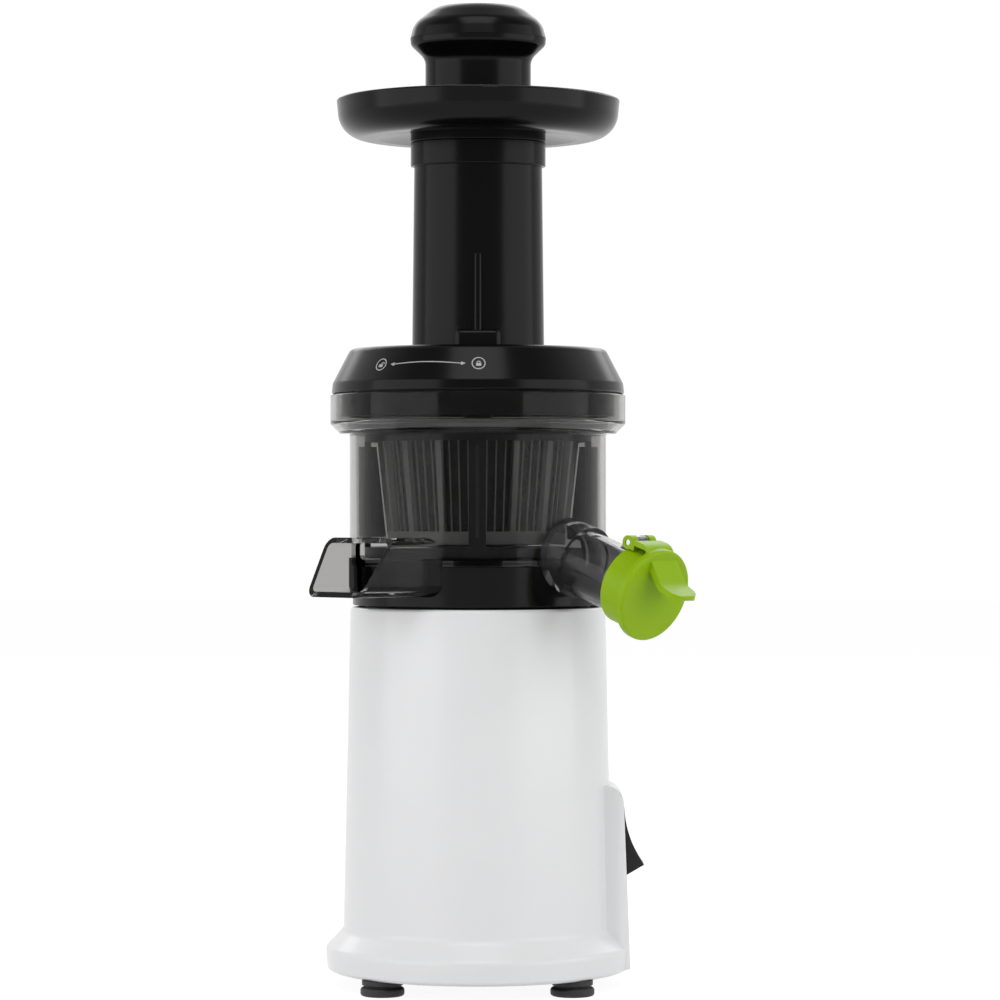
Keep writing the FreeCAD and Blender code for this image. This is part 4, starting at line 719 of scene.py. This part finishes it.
@dataclass
class ScreenRibs:
    """Fine upright ribs on the outside of the strainer's slit cone."""

    count: int = 64
    low: Point2 = (0.0352, 0.1880)
    high: Point2 = (0.0396, 0.2280)
    width: float = 0.0005
    depth: float = 0.0007

    def tree(self) -> bpy.types.NodeTree:
        """Builds the geometry tree that stands leaning bars round a cone.

        Returns:
            The geometry node group with named inputs.
        """
        tree = bpy.data.node_groups.new("screen_ribs", "GeometryNodeTree")
        add_socket(tree, "Geometry", "INPUT", Socket.GEOMETRY)
        add_socket(tree, "Count", "INPUT", Socket.COUNT).default_value = self.count
        rise, spread = self.high[1] - self.low[1], self.high[0] - self.low[0]
        add_values(tree, {"Radius": (self.low[0] + self.high[0] + self.depth) / 2,
                          "Height": (self.low[1] + self.high[1]) / 2,
                          "Length": math.hypot(rise, spread),
                          "Lean": math.atan2(spread, rise),
                          "Width": self.width,
                          "Depth": self.depth})
        add_socket(tree, "Finish", "INPUT", Socket.MATERIAL)
        add_socket(tree, "Geometry", "OUTPUT", Socket.GEOMETRY)
        nodes, links = tree.nodes, tree.links
        entry, leave = nodes.new("NodeGroupInput"), nodes.new("NodeGroupOutput")

        def triple(first: object, second: object, third: object) -> bpy.types.NodeSocket:
            """Three values as one vector."""
            node = nodes.new("ShaderNodeCombineXYZ")
            for slot, value in zip(node.inputs, (first, second, third)):
                if value is not None:
                    links.new(value, slot)
            return node.outputs["Vector"]

        points = nodes.new("GeometryNodePoints")
        links.new(entry.outputs["Count"], points.inputs["Count"])
        index = nodes.new("GeometryNodeInputIndex").outputs["Index"]
        turns = arithmetic(tree, "MULTIPLY", index, math.tau)
        angle = arithmetic(tree, "DIVIDE", turns, entry.outputs["Count"])
        radius = entry.outputs["Radius"]
        across = arithmetic(tree, "MULTIPLY", radius, arithmetic(tree, "COSINE", angle, 0.0))
        back = arithmetic(tree, "MULTIPLY", radius, arithmetic(tree, "SINE", angle, 0.0))
        move = nodes.new("GeometryNodeSetPosition")
        links.new(points.outputs["Points"], move.inputs["Geometry"])
        links.new(triple(across, back, entry.outputs["Height"]), move.inputs["Position"])
        bar = nodes.new("GeometryNodeMeshCube")
        size = triple(entry.outputs["Depth"], entry.outputs["Width"], entry.outputs["Length"])
        links.new(size, bar.inputs["Size"])
        copies = nodes.new("GeometryNodeInstanceOnPoints")
        links.new(move.outputs["Geometry"], copies.inputs["Points"])
        links.new(bar.outputs["Mesh"], copies.inputs["Instance"])
        links.new(triple(None, entry.outputs["Lean"], angle), copies.inputs["Rotation"])
        real = nodes.new("GeometryNodeRealizeInstances")
        links.new(copies.outputs["Instances"], real.inputs["Geometry"])
        coat = nodes.new("GeometryNodeSetMaterial")
        links.new(real.outputs["Geometry"], coat.inputs["Geometry"])
        links.new(entry.outputs["Finish"], coat.inputs["Material"])
        links.new(coat.outputs["Geometry"], leave.inputs["Geometry"])
        return tree

    def build(self, finish: bpy.types.Material) -> bpy.types.Object:
        """Runs the tree and keeps the result as a plain mesh.

        Args:
            finish: Finish of the ribs.

        Returns:
            The new piece, riding on the bowl.
        """
        seed = link_mesh("rib_seed", bpy.data.meshes.new("rib_seed"))
        tree = self.tree()
        modifier = seed.modifiers.new("ribs", "NODES")
        modifier.node_group = tree
        for item in tree.interface.items_tree:
            if item.in_out == "INPUT" and item.name == "Finish":
                modifier[item.identifier] = finish
        ready = seed.evaluated_get(bpy.context.evaluated_depsgraph_get())
        mesh = bpy.data.meshes.new_from_object(ready)
        bpy.data.objects.remove(seed)
        piece = link_mesh("strainer_ribs", mesh)
        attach(piece, "bowl")
        LOG.info("piece %s rides bowl with %d faces", piece.name, len(mesh.polygons))
        return piece


# Studio


@dataclass(frozen=True)
class SoftBox:
    """One rectangular lamp."""

    name: str
    place: Tuple[float, float, float]
    aim: Tuple[float, float, float]
    size: Point2
    watts: float

    def hang(self) -> None:
        """Hangs the lamp in the scene."""
        data = bpy.data.lights.new(self.name, "AREA")
        data.shape = "RECTANGLE"
        data.size, data.size_y = self.size
        data.energy = self.watts
        lamp = bpy.data.objects.new(self.name, data)
        lamp.location = self.place
        lamp.rotation_euler = (Vector(self.aim) - Vector(self.place)).to_track_quat("-Z", "Y").to_euler()
        bpy.context.scene.collection.objects.link(lamp)


# Two broad side boxes with a gap at the camera, one overhead box, and two high boxes for the back
SOFT_BOXES = (
    SoftBox("left_box", (-1.65, -0.95, 0.45), (0, 0, 0.22), (2.2, 1.9), 22.0),
    SoftBox("right_box", (1.72, -0.82, 0.45), (0, 0, 0.22), (2.2, 1.9), 22.0),
    SoftBox("top_box", (0, -0.95, 1.55), (0, 0, 0.25), (1.0, 1.0), 8.0),
    SoftBox("back_left_box", (-0.8, 1.7, 1.5), (0, 0, 0.2), (1.4, 1.4), 9.0),
    SoftBox("back_right_box", (0.8, 1.7, 1.5), (0, 0, 0.2), (1.4, 1.4), 9.0),
)


@dataclass
class Studio:
    """Pale floor, soft boxes and the camera."""

    floor_radius: float = 6.0
    floor_segments: int = 96
    floor_grey: float = 0.86
    floor_glow: float = 1.17
    glow_share: float = 0.80
    room_light: float = 0.30
    backdrop_light: float = 1.02
    backdrop_edge: float = 0.25
    camera_place: Tuple[float, float, float] = (0.0092, -1.547, 0.202)
    lens: float = 133.2

    def floor(self) -> None:
        """Lays a pale floor that stays white to the camera and keeps a faint shadow."""
        work = bmesh.new()
        bmesh.ops.create_circle(work, cap_ends=True, segments=self.floor_segments, radius=self.floor_radius)
        material = bpy.data.materials.new("pale_floor")
        material.use_nodes = True
        tree = material.node_tree
        tree.nodes.clear()
        leave = tree.nodes.new("ShaderNodeOutputMaterial")
        matte = tree.nodes.new("ShaderNodeBsdfDiffuse")
        matte.inputs["Color"].default_value = (self.floor_grey, self.floor_grey, self.floor_grey, 1)
        glow = tree.nodes.new("ShaderNodeEmission")
        glow.inputs["Color"].default_value = (1, 1, 1, 1)
        glow.inputs["Strength"].default_value = self.floor_glow
        path = tree.nodes.new("ShaderNodeLightPath")
        seen = arithmetic(tree, "MAXIMUM", path.outputs["Is Camera Ray"], path.outputs["Is Transmission Ray"])
        mirrored = arithmetic(tree, "MAXIMUM", seen, path.outputs["Is Glossy Ray"])
        mix = tree.nodes.new("ShaderNodeMixShader")
        tree.links.new(arithmetic(tree, "MULTIPLY", mirrored, self.glow_share), mix.inputs["Fac"])
        tree.links.new(matte.outputs["BSDF"], mix.inputs[1])
        tree.links.new(glow.outputs["Emission"], mix.inputs[2])
        tree.links.new(mix.outputs["Shader"], leave.inputs["Surface"])
        piece = mesh_piece("studio_floor", work, material)

    def world(self) -> None:
        """Grey surroundings that read as white behind the part, also in glossy and clear surfaces."""
        world = bpy.data.worlds.new("studio_world")
        bpy.context.scene.world = world
        world.use_nodes = True
        tree = world.node_tree
        tree.nodes.clear()
        leave = tree.nodes.new("ShaderNodeOutputWorld")
        lights = []
        for strength in (self.room_light, self.backdrop_light):
            light = tree.nodes.new("ShaderNodeBackground")
            light.inputs["Color"].default_value = (1, 1, 1, 1)
            light.inputs["Strength"].default_value = strength
            lights.append(light.outputs["Background"])
        path = tree.nodes.new("ShaderNodeLightPath")
        seen = arithmetic(tree, "MAXIMUM", path.outputs["Is Camera Ray"], path.outputs["Is Transmission Ray"])
        where = tree.nodes.new("ShaderNodeTexCoord")
        parts = tree.nodes.new("ShaderNodeSeparateXYZ")
        tree.links.new(where.outputs["Generated"], parts.inputs["Vector"])
        behind = tree.nodes.new("ShaderNodeMapRange")
        behind.inputs["From Min"].default_value = -self.backdrop_edge
        behind.inputs["From Max"].default_value = self.backdrop_edge
        tree.links.new(parts.outputs["Y"], behind.inputs["Value"])
        mirrored = arithmetic(tree, "MULTIPLY", path.outputs["Is Glossy Ray"], behind.outputs["Result"])
        mix = tree.nodes.new("ShaderNodeMixShader")
        tree.links.new(arithmetic(tree, "MAXIMUM", seen, mirrored), mix.inputs["Fac"])
        tree.links.new(lights[0], mix.inputs[1])
        tree.links.new(lights[1], mix.inputs[2])
        tree.links.new(mix.outputs["Shader"], leave.inputs["Surface"])

    def camera(self) -> None:
        """Sets a level camera in front of the part."""
        data = bpy.data.cameras.new("front_camera")
        data.lens = self.lens
        data.sensor_width = SENSOR_WIDTH
        camera = bpy.data.objects.new("front_camera", data)
        camera.location = self.camera_place
        camera.rotation_euler = (math.pi / 2, 0, 0)
        bpy.context.scene.collection.objects.link(camera)
        bpy.context.scene.camera = camera
        bpy.context.scene.view_settings.view_transform = "Standard"

    def build(self) -> None:
        """Sets floor, surroundings, lamps and camera."""
        self.floor()
        self.world()
        for box in SOFT_BOXES:
            box.hang()
        self.camera()
        LOG.info("studio set with %d soft boxes", len(SOFT_BOXES))


def ink_finish() -> bpy.types.Material:
    """Light grey pad-printing ink.

    Returns:
        The material.
    """
    finish = MouldedFinish("light_grey_ink", (0.42, 0.42, 0.42), (0.36, 0.36, 0.36), (0.4, 0.5), bump=0.02)
    return finish.build()


def main() -> None:
    """Dresses the nodes, builds the pieces and the studio."""
    logging.basicConfig(level=logging.INFO, format="%(name)s: %(message)s")
    book = finish_book()
    dress_nodes(book)
    TwistLid().build(ink_finish())
    ScreenRibs().build(book[Slot.GREY])
    Studio().build()


if __name__ == "__main__":
    main()
